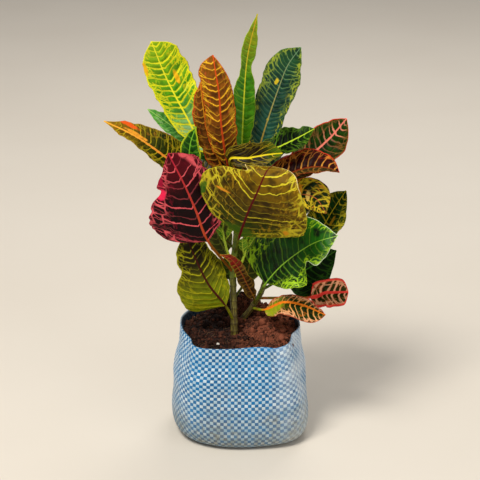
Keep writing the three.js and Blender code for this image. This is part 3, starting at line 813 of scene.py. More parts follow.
def lying_crumb():
    """Where one crumb goes, and its three numbers for the paint."""
    spot = spot_on_soil()
    heaped = bell(math.hypot(spot.x - SOIL_MOUND["x"], spot.y - SOIL_MOUND["y"]), SOIL_MOUND["width"])
    clod = draw.random() < CLOD_CHANCE[0] + CLOD_CHANCE[1] * heaped
    size = draw.uniform(*(CLOD_SIZE if clod else CRUMB_SIZE))
    flat = Vector([size * draw.uniform(*CRUMB_SHAPE) for _ in range(3)])
    turn = Euler([draw.uniform(0, FULL_TURN) for _ in range(3)])
    middle = spot + Vector((0, 0, CRUMB_SUNK * size))
    pale = 1 if draw.random() < PALE_CHANCE else 0
    tone = [draw.uniform(-1, 3) + 2 * heaped, draw.random(), pale]

    def place(corner):
        point = Vector([a * b for a, b in zip(corner, flat)])
        point.rotate(turn)
        return middle + point

    return place, tone


def lying_fibre():
    """Where one fibre goes, and its three numbers for the paint."""
    spot = spot_on_soil()
    length = draw.uniform(*FIBRE_LENGTH)
    turn = draw.uniform(0, 2 * math.pi)
    bow = draw.uniform(-FIBRE_BOW, FIBRE_BOW)
    ahead = Vector((math.cos(turn), math.sin(turn), draw.uniform(-0.1, 0.35))) * length
    aside = Vector((-math.sin(turn), math.cos(turn), 0))

    def place(corner):
        bent = aside * (corner.y + bow * (1 - 4 * corner.x ** 2))
        return spot + ahead * corner.x + bent + Vector((0, 0, corner.z + 0.7))

    return place, [draw.uniform(0, 4), draw.random(), 0.5]


lumps = [crumb(k) for k in range(3)]
loose = [gather(lump, [lying_crumb() for _ in range(CRUMBS // 3)]) for lump in lumps]
loose.append(gather(fibre(), [lying_fibre() for _ in range(FIBRES)]))
join([soil, *loose])
print("crumbs:", CRUMBS, "and fibres:", FIBRES)


# %% Soil finish
PEAT = [paint("120806"), paint("5c3222")]
RED_PEAT = paint("94543c")
RED_SIDE = (-0.015, 0.02)
FIBRE_COLOUR = paint("9a7350")
PALE_BIT = paint("d8d4cc")
PEAT_RELIEF = 0.0007


def soil_finish():
    peat = Finish("coco_peat", specular=0.2)
    rise, tint, kind = peat.attribute("grain")
    fine = peat.cloud(0.0014, detail=4)
    broad = peat.cloud(0.02)
    # Through the first grain number, raised lumps of the surface come out lighter and hollows darker:
    # painted light and painted shade. The tint and the noise are the peat's own tone.
    lit = (rise * 0.12 + tint * 0.35 + fine * 1.1 + broad * 0.5 - 0.7).between(0, 1)
    colour = peat.mix(lit, *PEAT)
    side, _, _ = peat.split(peat.place())
    red = side.between(*RED_SIDE) * (tint * 0.6 + fine).between(0.5, 1.0)
    colour = peat.mix(red * 0.8, colour, RED_PEAT)
    colour = peat.mix(kind.between(0.3, 0.5) * 0.7, colour, FIBRE_COLOUR)
    colour = peat.mix(kind.between(0.8, 0.9), colour, PALE_BIT)
    peat.set("Base Color", colour)
    peat.set("Roughness", fine * 0.2 + 0.75)
    peat.bump(fine, PEAT_RELIEF)
    return peat


hand_over(soil, soil_finish(), "soil")

# %% [markdown]
# ## Stems
#
# The stems are young wood: green-brown, ringed where leaves have dropped, with a half-moon scar at
# each of those rings. A stem is a grid rolled into a tube round its route.

# %% Stem form
ROOT_LEVEL = 60.0
MAIN = dict(
    route=[
        (-5, -4, ROOT_LEVEL), (-6, -5, 100), (-6, -5, 130), (-7, -1, 164),
        (-7, 2, 203), (-3, 2, 254), (1, 1, 299), (2, 0, 326),
    ],
    radii=(4.8, 3.0),
)
SIDE = dict(
    route=[
        (-2, 22, ROOT_LEVEL + 10), (-1, 22, 100), (1, 22, 124), (16, 20, 147),
        (28, 18, 170), (35, 20, 198), (40, 25, 233), (43, 29, 258),
    ],
    radii=(4.2, 2.6),
)
RING_SPACING = 9.5
RING_HEIGHT = 0.35
RING_WIDTH = 0.9
GRAIN = dict(depth=0.18, round=4, length=9)
BARK_SIDES = 28
BARK_STEP = 1.2
SCAR = dict(width=0.5, length=2.2, height=0.5)
GOLDEN_ANGLE = math.radians(137.5)


def tube(name, stem, sides, steps, relief):
    """A grid rolled round a route. relief(angle, length) adds to the radius."""
    path = Path(stem["route"])

    def place(x, y):
        t = y * path.spans
        along = path.heading(t)
        across = Vector((0, 1, 0)).cross(along).normalized()
        front = along.cross(across)
        angle = 2 * math.pi * x
        length = path.lengths[min(round(t * SPAN), len(path.lengths) - 1)]
        radius = between(*stem["radii"], y) + relief(angle, length)
        out = across * math.cos(angle) + front * math.sin(angle)
        return path.place(t) + out * radius, (math.cos(angle), math.sin(angle), length)

    piece = wrap(name, sides, steps, place, ["bark"])
    weld(piece)
    return piece


def bark_relief(angle, length):
    """How far rings, leaf scars and the wood's grain stand out, in millimetres."""
    number = round(length / RING_SPACING)
    off = length - number * RING_SPACING
    turn_off = turned(angle - number * GOLDEN_ANGLE)
    scar = SCAR["height"] * bell(turn_off, SCAR["width"]) * bell(off - 1, SCAR["length"])
    ring = RING_HEIGHT * bell(off, RING_WIDTH)
    x, y = math.cos(angle) * GRAIN["round"], math.sin(angle) * GRAIN["round"]
    grain = GRAIN["depth"] * noise.noise(Vector((x, y, length / GRAIN["length"])))
    return scar + ring + grain


# %% Bark
YOUNG_BARK = paint("647c10")
OLD_BARK = paint("4a3e10")
STREAK = paint("b0a43c")
RING_COLOUR = paint("3a2c18")
WOOD_ENDS = (60, 190)
BARK_RELIEF = 0.0004


def bark_finish():
    bark = Finish("green_bark", coat=0.05)
    turn_x, turn_y, length = bark.attribute("bark")
    lines = bark.cloud(1.0, bark.stack(turn_x * 5, turn_y * 5, length * 0.09), detail=3)
    ring = abs((length / RING_SPACING + 0.5).math("FRACT") - 0.5).between(0.02, 0.14)
    woody = (1 - length.between(*WOOD_ENDS)) * 0.75 + bark.cloud(0.012) * 0.5 - 0.1
    colour = bark.mix(woody.between(0.1, 0.8), YOUNG_BARK, OLD_BARK)
    colour = bark.mix(lines.between(0.45, 0.7) * 0.6, colour, STREAK)
    colour = bark.mix((1 - ring) * 0.5, colour, RING_COLOUR)
    bark.set("Base Color", colour)
    bark.set("Roughness", 0.5 + lines * 0.25)
    bark.bump(lines, BARK_RELIEF)
    return bark


bark = bark_finish()
for node, stem in (("stem_main", MAIN), ("stem_side", SIDE)):
    steps = round(Path(stem["route"]).lengths[-1] / BARK_STEP)
    hand_over(tube(node + "_bark", stem, BARK_SIDES, steps, bark_relief), bark, node)

# %% [markdown]
# ## Leaves
#
# A croton leaf is a stiff, glossy strap. It is never flat: the halves fold up from the midrib, the
# edges wave, and the blade puckers between the side veins, which lie sunk in the upper face and stand
# proud of the lower one. Every leaf here is one closed skin, from the round stalk to the tip, made by
# one formula from a few measured values: its route, which way it faces, its half widths, where it is
# widest, how it folds, curls and waves. Of a pair, the first value is for the left half and the second
# for the right one, and a single number is for both. Each corner of the grid also keeps where it lies
# on the leaf, in millimetres, and which side vein is nearest. The paint reads these, so colour and
# relief agree.

# %% Leaf measures
USUAL = dict(
    stem=MAIN, stalk=1.7, half=18, belly=0.55, slim=0.6, blunt=2.4, waist=((0, 0.5, 1), (0, 0.5, 1)),
    fold=12, curl=8, wave=(1.5, 2, 0), pitch=7.5, lean=0.33, ragged=1.0,
)
PAIRED = ("half", "belly", "slim", "blunt", "fold", "curl")
LEAVES = {
    "leaf_tall": dict(
        height=316, route=[(3, 10, 350), (6, 14, 420), (10, 16, 465), (21, 10, 515)],
        top=[(0.1, -0.95, 0.2), (0.1, -0.95, 0.2)], half=14, belly=0.3,
        waist=((0.42, 0.6, 0.1), (0.42, 0.6, 0.1)), pitch=8, ragged=0.5,
    ),
    "leaf_deep": dict(
        height=311, route=[(20, 14, 343), (33, 20, 383), (46, 26, 421), (57, 26, 450), (72, 22, 473)],
        top=[(-0.2, -0.9, 0.3), (-0.3, -0.9, 0.3)], half=(23, 24), belly=0.66, slim=0.5, blunt=(2.8, 3),
        pitch=5.5,
    ),
    "leaf_lime": dict(
        height=306, route=[(-39, 16, 347), (-64, 28, 390), (-86, 36, 432), (-103, 34, 477)],
        top=[(0.3, -0.85, 0.4), (0.35, -0.9, 0.3)], half=(25, 30), belly=(0.68, 0.7), slim=0.5,
        blunt=(3.6, 4), fold=8, ragged=1.3,
    ),
    "leaf_olive": dict(
        height=313, route=[(-11, -32, 352), (10, -40, 357), (32, -43, 362), (50, -40, 363)],
        top=[(0, -0.85, 0.5), (0.1, -0.85, 0.5)], half=(17, 12), belly=0.4, slim=0.22, blunt=4, pitch=13,
        lean=2.2,
    ),
    "leaf_midnight": dict(
        height=302, route=[(24, -6, 349), (48, -10, 362), (69, -11, 373), (88, -8, 383)],
        top=[(0, -0.6, 0.75), (0.1, -0.6, 0.75)], half=17, belly=0.5, ragged=1.6,
    ),
    "leaf_bronze": dict(
        height=296,
        route=[(-13, -18, 341), (-20, -28, 387), (-23, -30, 430), (-27, -27, 456), (-30, -20, 474)],
        top=[(0, 0.95, 0.2), (0, 0.95, -0.1)], half=(19, 20), belly=(0.45, 0.5), slim=0.5, blunt=(3, 14),
        fold=(20, 12), pitch=8.6,
    ),
    "leaf_bronze_low": dict(
        height=288, route=[(-16, -10, 326), (-36, -15, 380), (-42, -16, 415), (-45, -12, 440)],
        top=[(-0.2, 0.95, 0.2), (-0.2, 0.95, 0)], half=(17, 15), belly=(0.45, 0.5), slim=0.4, pitch=8,
    ),
    "leaf_sprig": dict(
        height=284, route=[(-33, 30, 327), (-71, 50, 361), (-110, 56, 389)],
        top=[(0.3, -0.7, 0.6), (0.3, -0.8, 0.5)], half=14, belly=0.5,
    ),
    "leaf_ember": dict(
        height=276, route=[(-43, -5, 313), (-84, -7, 346), (-120, -11, 374), (-157, -14, 394)],
        top=[(0.2, -0.7, 0.6), (0.3, -0.75, 0.55)], half=(15, 27), belly=(0.45, 0.32), slim=(0.5, 0.4),
        blunt=(2, 1.6),
    ),
    "leaf_rose": dict(
        height=271, route=[(50, 12, 314), (84, 22, 340), (109, 22, 364), (127, 18, 388)],
        top=[(-0.4, -0.75, 0.5), (-0.4, -0.8, 0.4)], half=(22, 29), belly=(0.6, 0.62), blunt=(2.4, 3.6),
        pitch=8,
    ),
    "leaf_maroon": dict(
        height=266,
        route=[(36, -12, 309), (57, -18, 330), (83, -18, 339), (104, -14, 337), (118, -10, 330)],
        top=[(-0.2, -0.8, 0.6), (0.1, -0.8, 0.6)], half=(22, 10), belly=0.5, slim=(0.4, 0.5), blunt=3,
        fold=(4, -70), pitch=8,
    ),
    "leaf_spring": dict(
        height=256, route=[(-42, -18, 303), (-57, -21, 340), (-57, -20, 367), (-50, -16, 388)],
        top=[(0.2, -0.9, 0.4), (0.1, -0.95, 0.3)], half=(14, 13), belly=0.5,
    ),
    "leaf_blotch": dict(
        height=242, route=[(40, 6, 282), (68, 4, 297), (90, 4, 294), (104, 2, 275)],
        top=[(-0.2, -0.6, 0.75), (0.2, -0.7, 0.6)], half=22,
    ),
    "leaf_butterfly": dict(
        height=226, route=[(0, -28, 256), (10, -54, 295), (21, -70, 326), (31, -68, 349), (38, -48, 350)],
        top=[(0.3, 0.8, 0.5), (0.25, 0.87, 0.2), (0, 0.1, -1)], half=(70, 66), belly=(0.53, 0.52),
        slim=(1, 1.2), blunt=(2, 1.5), waist=((0, 0.5, 1), (0.42, 0.78, 0.045)), fold=2, curl=-6,
        wave=(3, 1.5, 0.1), pitch=10.5,
    ),
    "leaf_right": dict(
        stem=SIDE, height=206, route=[(70, 26, 212), (96, 30, 238), (113, 31, 268), (129, 28, 295)],
        top=[(-0.5, -0.8, 0.3), (-0.6, -0.75, 0.2)], half=(24, 26), belly=(0.5, 0.55), slim=(0.4, 0.5),
        blunt=(2.8, 3.4), pitch=8,
    ),
    "leaf_wine": dict(
        height=201, route=[(-37, -30, 252), (-50, -36, 290), (-64, -38, 325), (-82, -34, 361)],
        top=[(-0.1, 0.9, 0.3), (-0.1, 0.95, 0.1)], half=(36, 60), belly=(0.55, 0.32), slim=0.5,
        blunt=(3.4, 1.5), waist=((0.12, 0.72, 0.06), (0.2, 0.66, 0.06)), fold=(12, 8), wave=(3, 2.4, 0.3),
        pitch=12.5, ragged=2.2,
    ),
    "leaf_gloss": dict(
        stem=SIDE, height=158, route=[(32, 2, 185), (54, -18, 219), (86, -36, 250), (116, -40, 262)],
        top=[(0, -0.75, 0.65), (0.1, -0.75, 0.65)], half=(58, 39), belly=(0.34, 0.54), slim=(0.34, 1),
        blunt=(2.1, 1.8), waist=((0, 0.5, 1), (0.5, 0.64, 0.07)), fold=4, wave=(6, 2.5, 0.2), pitch=9,
        ragged=1.2,
    ),
    "leaf_shade": dict(
        stem=SIDE, height=172, route=[(54, 28, 182), (80, 33, 190), (119, 34, 216)],
        top=[(0, -0.95, 0.3), (0, -1, 0.1)], half=(22, 32), belly=(0.5, 0.35), slim=(0.5, 0.4),
        blunt=(2.4, 1.9),
    ),
    "leaf_blush": dict(
        stem=SIDE, height=160, route=[(88, 12, 163), (104, 9, 170), (118, 6, 172), (133, 5, 173)],
        top=[(0, -0.9, 0.4), (0, -0.95, 0.3)], belly=0.5, slim=0.26, blunt=8, wave=(2, 2, 0.3),
    ),
    "leaf_thin": dict(
        stem=SIDE, height=152,
        route=[(18, 2, 167), (10, -6, 186), (1, -15, 208), (-10, -22, 226), (-23, -26, 233)],
        top=[(0.2, -0.9, 0.2), (0.2, -0.8, 0.5)], half=(9, 8), belly=0.35, slim=0.3, blunt=3, stalk=1.4,
        pitch=6,
    ),
    "leaf_flame": dict(
        stem=SIDE, height=147, route=[(32, 4, 150), (54, -12, 166), (78, -20, 165), (104, -20, 153)],
        top=[(0, -0.6, 0.75), (0.2, -0.75, 0.6)], half=(10, 22), belly=(0.5, 0.62), slim=(0.45, 0.5),
        blunt=(3, 4), wave=(2, 2, 0), pitch=7,
    ),
    "leaf_moss": dict(
        height=142, route=[(-17, -15, 164), (-37, -20, 193), (-53, -19, 228), (-66, -11, 260)],
        top=[(-0.1, 0.9, 0.3), (-0.1, 0.95, 0.1)], half=(28, 43), belly=(0.44, 0.2), slim=(0.45, 0.3),
        blunt=(2.2, 1.7), waist=((0, 0.5, 1), (0.26, 0.56, 0.09)), fold=(30, 6), pitch=8.5,
    ),
}
BACK = dict(top=[(0, 0.2, 0.98), (0, 0.45, 0.9)])
BACK_LEAVES = {
    "leaf_back_1": dict(height=300, route=[(-16, 24, 328), (-34, 52, 362), (-44, 68, 386)], half=21),
    "leaf_back_2": dict(height=294, route=[(3, 26, 316), (10, 62, 354), (16, 92, 376)], half=25),
    "leaf_back_3": dict(height=286, route=[(22, 24, 306), (54, 52, 336), (80, 72, 352)], half=25),
    "leaf_back_4": dict(height=272, route=[(-22, 26, 302), (-58, 54, 328), (-98, 82, 324)], half=25),
    "leaf_back_5": dict(height=264, route=[(14, 30, 286), (36, 78, 312), (50, 118, 308)], half=27),
    "leaf_back_6": dict(height=254, route=[(-12, 30, 278), (-30, 78, 300), (-40, 122, 290)], half=27),
    "leaf_back_7": dict(height=246, route=[(26, 34, 264), (66, 62, 282), (98, 90, 274)], half=25),
    "leaf_back_8": dict(height=230, route=[(-28, 20, 246), (-70, 48, 266), (-102, 74, 256)], half=25),
    "leaf_back_9": dict(
        height=210, route=[(-15, 30, 214), (-23, 38, 226), (-28, 42, 240), (-30, 44, 253)],
        top=[(0, 0.95, 0.2), (0, 0.95, 0)], half=17,
    ),
    "leaf_back_10": dict(
        stem=SIDE, height=204, route=[(44, 46, 220), (58, 84, 236), (68, 120, 220)], half=25,
    ),
    "leaf_back_11": dict(height=162, route=[(-20, 18, 176), (-46, 44, 190), (-66, 64, 180)], half=20),
    "leaf_back_12": dict(
        height=166, route=[(5, 26, 174), (12, 36, 194), (15, 41, 216), (16, 43, 238)],
        top=[(0, 0.95, 0.2), (0, 0.95, 0)], half=20,
    ),
    "leaf_back_13": dict(
        stem=SIDE, height=232, route=[(60, 42, 244), (92, 62, 260), (116, 78, 256)], half=19,
    ),
    "leaf_back_14": dict(
        stem=SIDE, height=182, route=[(44, 38, 186), (68, 66, 190), (92, 88, 178)], half=20,
    ),
    "leaf_back_15": dict(
        height=176, route=[(-11, 20, 184), (-12, 26, 198), (-13, 30, 211)],
        top=[(0, 0.95, 0.2), (0, 0.95, 0.1)], half=17,
    ),
}


def whole(*changes):
    """All measures of a leaf: the usual ones, changed, with each paired one given for both halves."""
    leaf = dict(USUAL)
    for change in changes:
        leaf.update(change)
    for key in PAIRED:
        leaf[key] = leaf[key] if isinstance(leaf[key], tuple) else (leaf[key], leaf[key])
    return leaf


print("leaves in front:", len(LEAVES), "and behind:", len(BACK_LEAVES))

# %% Leaf form
SEAT_DEPTH = 1.0
TIP_HALF_WIDTH = 0.9
BLEND = 0.1
WAVE_GROWTH = 1.5
WAVE_SHIFT = 0.37
BLADE = (0.62, 0.34)
MIDRIB = (1.3, 1.0)
STEP = 1.35
VEIN = dict(bend=0.3, sink=0.5, width=1.0, quilt=0.55, spread=4.0, wander=0.2, cell=(9, 13))
STAGGER = 0.4
RIPPLE = dict(height=1.7, size=11.0)
RAGGED = ((2.6, 16.0), (1.1, 5.5))
LEAST_ACROSS = 6
LEAST_ALONG = 12


def stem_at(stem, height):
    """The middle, direction and radius of a stem at a height."""
    path = Path(stem["route"])
    share = 0
    while share < 1 and path.place(share * path.spans).z < height:
        share += 0.005
    share = min(share, 1)
    t = share * path.spans
    return path.place(t), path.heading(t), between(*stem["radii"], share)


def seat(leaf, towards):
    """The point just under the bark where a stalk that heads for a place starts."""
    axis, along, radius = stem_at(leaf["stem"], leaf["height"])
    out = (Vector(towards) - axis).normalized()
    steep = out.dot(along)
    sideways = (out - along * steep).normalized()
    return axis + sideways * (radius - SEAT_DEPTH)


def outline(leaf, side, v):
    """Half width at v, from the blade's base at 0 to its tip at 1, as a share of the widest place."""
    belly = leaf["belly"][side]
    rise = 1 - (1 - v / belly) ** 2 if v < belly else 1
    fall = 1 - ((v - belly) / (1 - belly)) ** leaf["blunt"][side] if v > belly else 1
    depth, middle, width = leaf["waist"][side]
    return rise ** leaf["slim"][side] * fall * (1 - depth * bell(v - middle, width))


def facing(leaf, v):
    """The direction that the upper face looks to at v."""
    place = v * (len(leaf["top"]) - 1)
    k = min(int(place), len(leaf["top"]) - 2)
    return Vector(leaf["top"][k]).lerp(Vector(leaf["top"][k + 1]), place - k)


# %% One leaf
class Leaf:
    """The closed skin of one leaf."""

    def __init__(self, leaf, number, start=None):
        self.leaf = leaf
        self.number = number
        self.path = Path([start or seat(leaf, leaf["route"][0]), *leaf["route"]])
        self.total = self.path.lengths[-1]
        self.base = self.path.lengths[SPAN] / self.total
        self.ring = None

    def frame(self, y):
        """What all corners at one place along the leaf share."""
        if self.ring and self.ring["y"] == y:
            return self.ring
        t = self.path.along(y)
        along = self.path.heading(t)
        v = (y - self.base) / (1 - self.base)
        on_blade = min(max(v, 0), 1)
        up = facing(self.leaf, on_blade)
        up = (up - along * up.dot(along)).normalized()
        share = [outline(self.leaf, side, on_blade) if v > 0 else 0 for side in (0, 1)]
        self.ring = dict(y=y, v=v, centre=self.path.place(t), up=up, right=along.cross(up), share=share)
        return self.ring

    def noise(self, length, size, side):
        """Noise along one half of the leaf, from -1 to 1."""
        return noise.noise(Vector((length / size, 5 * side + 2, self.number)))

    def half(self, ring, side, length):
        """Half width in millimetres, with the small unevenness of a real edge."""
        share = ring["share"][side]
        uneven = sum(depth * self.noise(length, size, side) for depth, size in RAGGED)
        uneven *= self.leaf["ragged"] * smooth(2 * share)
        return max(self.leaf["half"][side] * share + uneven, TIP_HALF_WIDTH)

    def nearest_vein(self, across, length, half):
        """Counts side veins from the base: whole numbers are veins."""
        off = abs(across)
        wide, long = VEIN["cell"]
        wave = VEIN["wander"] * noise.noise(Vector((across / wide, length / long, self.number)))
        swept = length - self.leaf["lean"] * off - VEIN["bend"] * off * off / max(half, 1)
        stagger = STAGGER * smooth(off / VEIN["spread"]) if across > 0 else 0
        return swept / self.leaf["pitch"] + stagger + wave

    def lift(self, ring, side, out, length, vein):
        """How far waves, ripples and the pucker between the veins raise the blade."""
        high, count, first = self.leaf["wave"]
        v = min(max(ring["v"], 0), 1)
        share = ring["share"][side]
        phase = 2 * math.pi * (count * v + first + WAVE_SHIFT * side)
        wave = high * out ** WAVE_GROWTH * share * math.sin(phase)
        ripple = RIPPLE["height"] * out ** 3 * self.noise(length, RIPPLE["size"], side)
        off_vein = vein - round(vein)
        sunk = VEIN["sink"] * bell(off_vein * self.leaf["pitch"], VEIN["width"])
        quilt = VEIN["quilt"] * math.sin(math.pi * off_vein) ** 2
        return wave + (ripple + (quilt - sunk) * smooth(2 - 2 * out) * smooth(out * 8)) * share

    def place(self, x, y):
        """Wraps the grid: x below a half is the upper face, and the rest is the lower one."""
        leaf = self.leaf
        ring = self.frame(y)
        centre, up, right = ring["centre"], ring["up"], ring["right"]
        over = x < 0.5
        u = 4 * x - 1 if over else 3 - 4 * x
        side = 0 if u < 0 else 1
        out = abs(u)
        v = min(max(ring["v"], 0), 1)
        length = (y - self.base) * self.total
        half = self.half(ring, side, length)
        vein = self.nearest_vein(half * u, length, half)
        fold = math.radians(leaf["fold"][side])
        curl = math.radians(leaf["curl"][side])
        angle = fold + curl * out
        mean = fold + curl * out / 2
        normal = up * math.cos(angle) - right * math.copysign(math.sin(angle), u)
        point = centre + right * (half * u * math.cos(mean)) + up * (half * out * math.sin(mean))
        thick = between(*BLADE, out) / 2 * math.sqrt(max(1 - out ** 8, 0))
        rib = MIDRIB[0] * (1 - v) * bell(half * u, MIDRIB[1])
        point += normal * (self.lift(ring, side, out, length, vein) + (thick if over else -thick - rib))
        round_it = math.pi * (1 - 2 * x)
        stalk = centre + leaf["stalk"] * (right * math.cos(round_it) + up * math.sin(round_it))
        flat = smooth((ring["v"] + BLEND) / (2 * BLEND))
        blade = (half * u, length, half * (1 - out))
        return stalk.lerp(point, flat), blade, (0 if over else 1, vein + 40 * self.number, v)

    def piece(self, name, step=STEP):
        wide = 2 * max(self.leaf["half"])
        across = 2 * max(round(wide / step / 2) * 2, LEAST_ACROSS)
        along = max(round(self.total / step), LEAST_ALONG)
        made = wrap(name, across, along, self.place, ["blade", "marks"])
        weld(made)
        return made


# %% [markdown]
# ## Leaf paint
#
# The leaf's colours are laid over each other as they are in nature: a dark ground, a lighter cast
# beside the veins, the side veins themselves, a net of fine veins near the edge, the edge, the midrib
# and a few spots. Two layers are painted light: a painted shadow along both flanks of each side vein,
# and on some leaves a painted highlight on a lip just inside the edge. No two leaves of this plant
# have the same colours, so each finish is written from one short palette for the upper face and one
# for the lower. A face that isn't given is worked out from the other one, duller and yellower.

# %% Palettes
BLACK = paint("080804")
VEIL = paint("6e6a2c")
VEIL_SHARE = 0.35
BORROWED = dict(
    far="vein", edge="vein", rib_tip="rib", tip="light", base="light", fleck="vein", lip="edge",
)
PLAIN = dict(
    cast=None, cast_width=2.2, cast_share=0.5, far=None, vein_width=0.8, vein_share=0.95, weak=0.1,
    net=0.35, net_start=0.45, net_size=8.0, edge=None, edge_width=0.8, edge_share=0.8, rib_tip=None,
    rib_width=1.0, tip=None, tip_share=0.5, tip_start=0.6, tip_end=1.0, base=None, base_share=0.0,
    patch=None, patch_share=0.5, fleck=None, fleck_share=0.0, fleck_start=0.3, stalk=paint("566414"),
    spots=(), shine=0.1, coat=0.0, span=(-0.2, -0.1), fade=(1.1, 1.2), lip=None, lip_start=0.7,
    lip_share=0.0,
)


def palette(dark, light, vein, rib, **changes):
    """A face's colours and shares. A colour that isn't given is borrowed or mixed from the others."""
    made = {**PLAIN, "dark": paint(dark), "light": paint(light), "vein": paint(vein), "rib": paint(rib)}
    for key, value in changes.items():
        made[key] = paint(value) if isinstance(value, str) else value
    made["cast"] = made["cast"] or blend(made["light"], made["vein"], 0.45)
    made["patch"] = made["patch"] or blend(made["dark"], BLACK, 0.5)
    for key, lender in BORROWED.items():
        made[key] = made[key] or made[lender]
    return made


def dulled(face):
    """The other face of a leaf: the same painting in duller, yellower colours."""
    keys = ("dark", "light", "vein", "rib", "cast", "patch", *BORROWED)
    return {**face, **{key: blend(face[key], VEIL, VEIL_SHARE) for key in keys}}


print("values that a palette can change:", len(PLAIN))

# %% [markdown]
# A leaf's paint first works out what all its layers share: how far a point is from the midrib, from
# the edge and from the nearest side vein, how strong that vein is, and noise of several sizes. Each
# layer is then a mask and a colour. A side vein wanders, drifts from its place and forks near the
# edge, and no two are equally strong.


# %% What the layers read
MOTTLE = 0.006
PATCH = 0.015
LEAF_GRAIN = 0.0025
FRECKLE = (3.2, 6.5, 9)
RAGGEDNESS = 1.6
DRIFT = (0.25, 0.3)
FORK = dict(start=0.35, spread=0.4, width=0.55)
LOOP_INSET = 2.8
LEAF_RELIEF = 0.0004


class LeafPaint(Finish):
    """A leaf's skin, with the fields that its layers are drawn from."""

    def __init__(self, name, coat, shine, pitch):
        super().__init__(name, coat=coat, specular=shine)
        self.across, self.length, self.inset = self.attribute("blade")
        self.under, counted, self.reach = self.attribute("marks")
        self.off = abs(self.across)
        self.share = self.off / (self.off + self.inset + 0.01)
        self.mottling = self.cloud(MOTTLE, detail=3)
        self.patchy = self.cloud(PATCH, detail=2)
        wide, long, apart = FRECKLE
        freckle_place = self.stack(self.across / wide, self.length / long, self.across / apart)
        self.freckled = self.cloud(1.0, freckle_place, detail=1)
        self.grain = self.cloud(LEAF_GRAIN, detail=3)
        self.ragged = (self.mottling - 0.5) * RAGGEDNESS
        vein = counted + (self.mottling - 0.5) * (self.share * 0.7 + 0.1)
        nearest = (vein + 0.5).math("FLOOR")
        side = self.across.math("SIGN")
        self.force = self.chance(nearest, side)
        drift = (self.chance(nearest, side + 9) - 0.5) * (DRIFT[0] + DRIFT[1] * self.share)
        fork = self.share - FORK["start"] - FORK["spread"] * self.chance(nearest, side + 5)
        fork = fork.math("MAXIMUM", 0) * FORK["width"]
        self.from_vein = abs(abs(vein - nearest - drift) - fork) * pitch
        self.loops = abs(self.inset - LOOP_INSET - self.ragged * 1.2)


# %% Layers of one face
BASE_END = (0.1, 0.5)
VEIN_SHADOW_SHARE = 0.4


def ground(leaf, face):
    """The blade itself: mottled, with its own base, tip and dark patches."""
    colour = leaf.mix(leaf.mottling.between(0.3, 0.7), face["dark"], face["light"])
    colour = leaf.mix((1 - leaf.reach.between(*BASE_END)) * face["base_share"], colour, face["base"])
    tipped = (leaf.reach + leaf.ragged * 0.08).between(face["tip_start"], face["tip_end"])
    colour = leaf.mix(tipped * face["tip_share"], colour, face["tip"])
    return leaf.mix(leaf.patchy.between(0.48, 0.7) * face["patch_share"], colour, face["patch"])


def net(leaf, face):
    """The fine veins that join the side veins near the edge."""
    size = 1 / face["net_size"]
    slant = leaf.length * size * 0.8 - leaf.off * size * 0.4
    flat = leaf.stack(leaf.across * size, slant, leaf.under * 9)
    inputs = {"Vector": flat, "Scale": 1.0, "Randomness": 0.9}
    cells = leaf.node("ShaderNodeTexVoronoi", {"feature": "DISTANCE_TO_EDGE"}, inputs)
    loops = 0.6 - 0.6 * leaf.loops.between(0.15, 0.6)
    threads = (1 - cells.between(0.03, 0.1)).math("MAXIMUM", loops)
    gate = leaf.share.between(face["net_start"], face["net_start"] + 0.2) * leaf.patchy.between(0.36, 0.52)
    return threads * gate * face["net"] * leaf.reach.between(*face["span"])


def veins(leaf, face, colour):
    """The side veins with their cast, the painted shadow along their flanks and their net, and the flecks
    under them.
    """
    width = face["vein_width"]
    away = leaf.from_vein
    strong = leaf.force.between(face["weak"], face["weak"] + 0.35) * leaf.reach.between(*face["span"])
    strong = strong * (1 - leaf.share.between(*face["fade"]))
    cast = 1 - (away + leaf.ragged).between(width * 0.3, face["cast_width"])
    colour = leaf.mix(cast * strong * face["cast_share"], colour, face["cast"])
    # A painted shadow darkens a narrow band on both sides of each side vein.
    vein_shadow = away.between(width * 0.8, width * 1.1) * (1 - away.between(width * 1.2, width + 1.8))
    colour = leaf.mix(vein_shadow * strong * VEIN_SHADOW_SHARE, colour, face["dark"])
    flecks = leaf.freckled.between(0.56, 0.64)
    flecks = flecks * leaf.share.between(face["fleck_start"], face["fleck_start"] + 0.3)
    colour = leaf.mix(flecks * (0.5 + leaf.grain) * face["fleck_share"], colour, face["fleck"])
    drawn = width * (1.25 - 0.6 * leaf.share) * (0.5 + 0.6 * leaf.grain + 0.4 * leaf.force)
    line = 1 - away.between(drawn * 0.45, drawn)
    lines = (line * (0.25 + 0.75 * strong) * face["vein_share"]).math("MAXIMUM", net(leaf, face))
    vein = leaf.mix(leaf.share, face["vein"], face["far"])
    return leaf.mix(lines * (0.7 + 0.5 * leaf.grain), colour, vein)


# %% Edges, spots and rib
SPOT_SHARE = 0.9
RIB_SOFTNESS = (-0.35, 0.25)
STALK_END = (-9, 3)


def rims(leaf, face, colour):
    """The painted edge, the lip just inside it, lit with a painted highlight, and the spots."""
    edge = 1 - (leaf.inset + leaf.ragged * 0.6).between(face["edge_width"] * 0.4, face["edge_width"])
    colour = leaf.mix(edge * face["edge_share"], colour, face["edge"])
    # The lip is a painted highlight: a thin band just inside the edge, from a share of the leaf's length
    # on, in a lighter colour.
    lip = (leaf.reach + leaf.ragged * 0.1).between(face["lip_start"], face["lip_start"] + 0.15)
    lip = lip * (1 - leaf.inset.between(0.6, 1.5))
    colour = leaf.mix(lip * face["lip_share"], colour, face["lip"])
    for tint, x, y, wide, long in face["spots"]:
        place = ((leaf.across - x) / wide).math("POWER", 2) + ((leaf.length - y) / long).math("POWER", 2)
        spot = 1 - (place + leaf.ragged * 1.2).between(0.4, 1.3)
        colour = leaf.mix(spot * SPOT_SHARE, colour, paint(tint))
    return colour


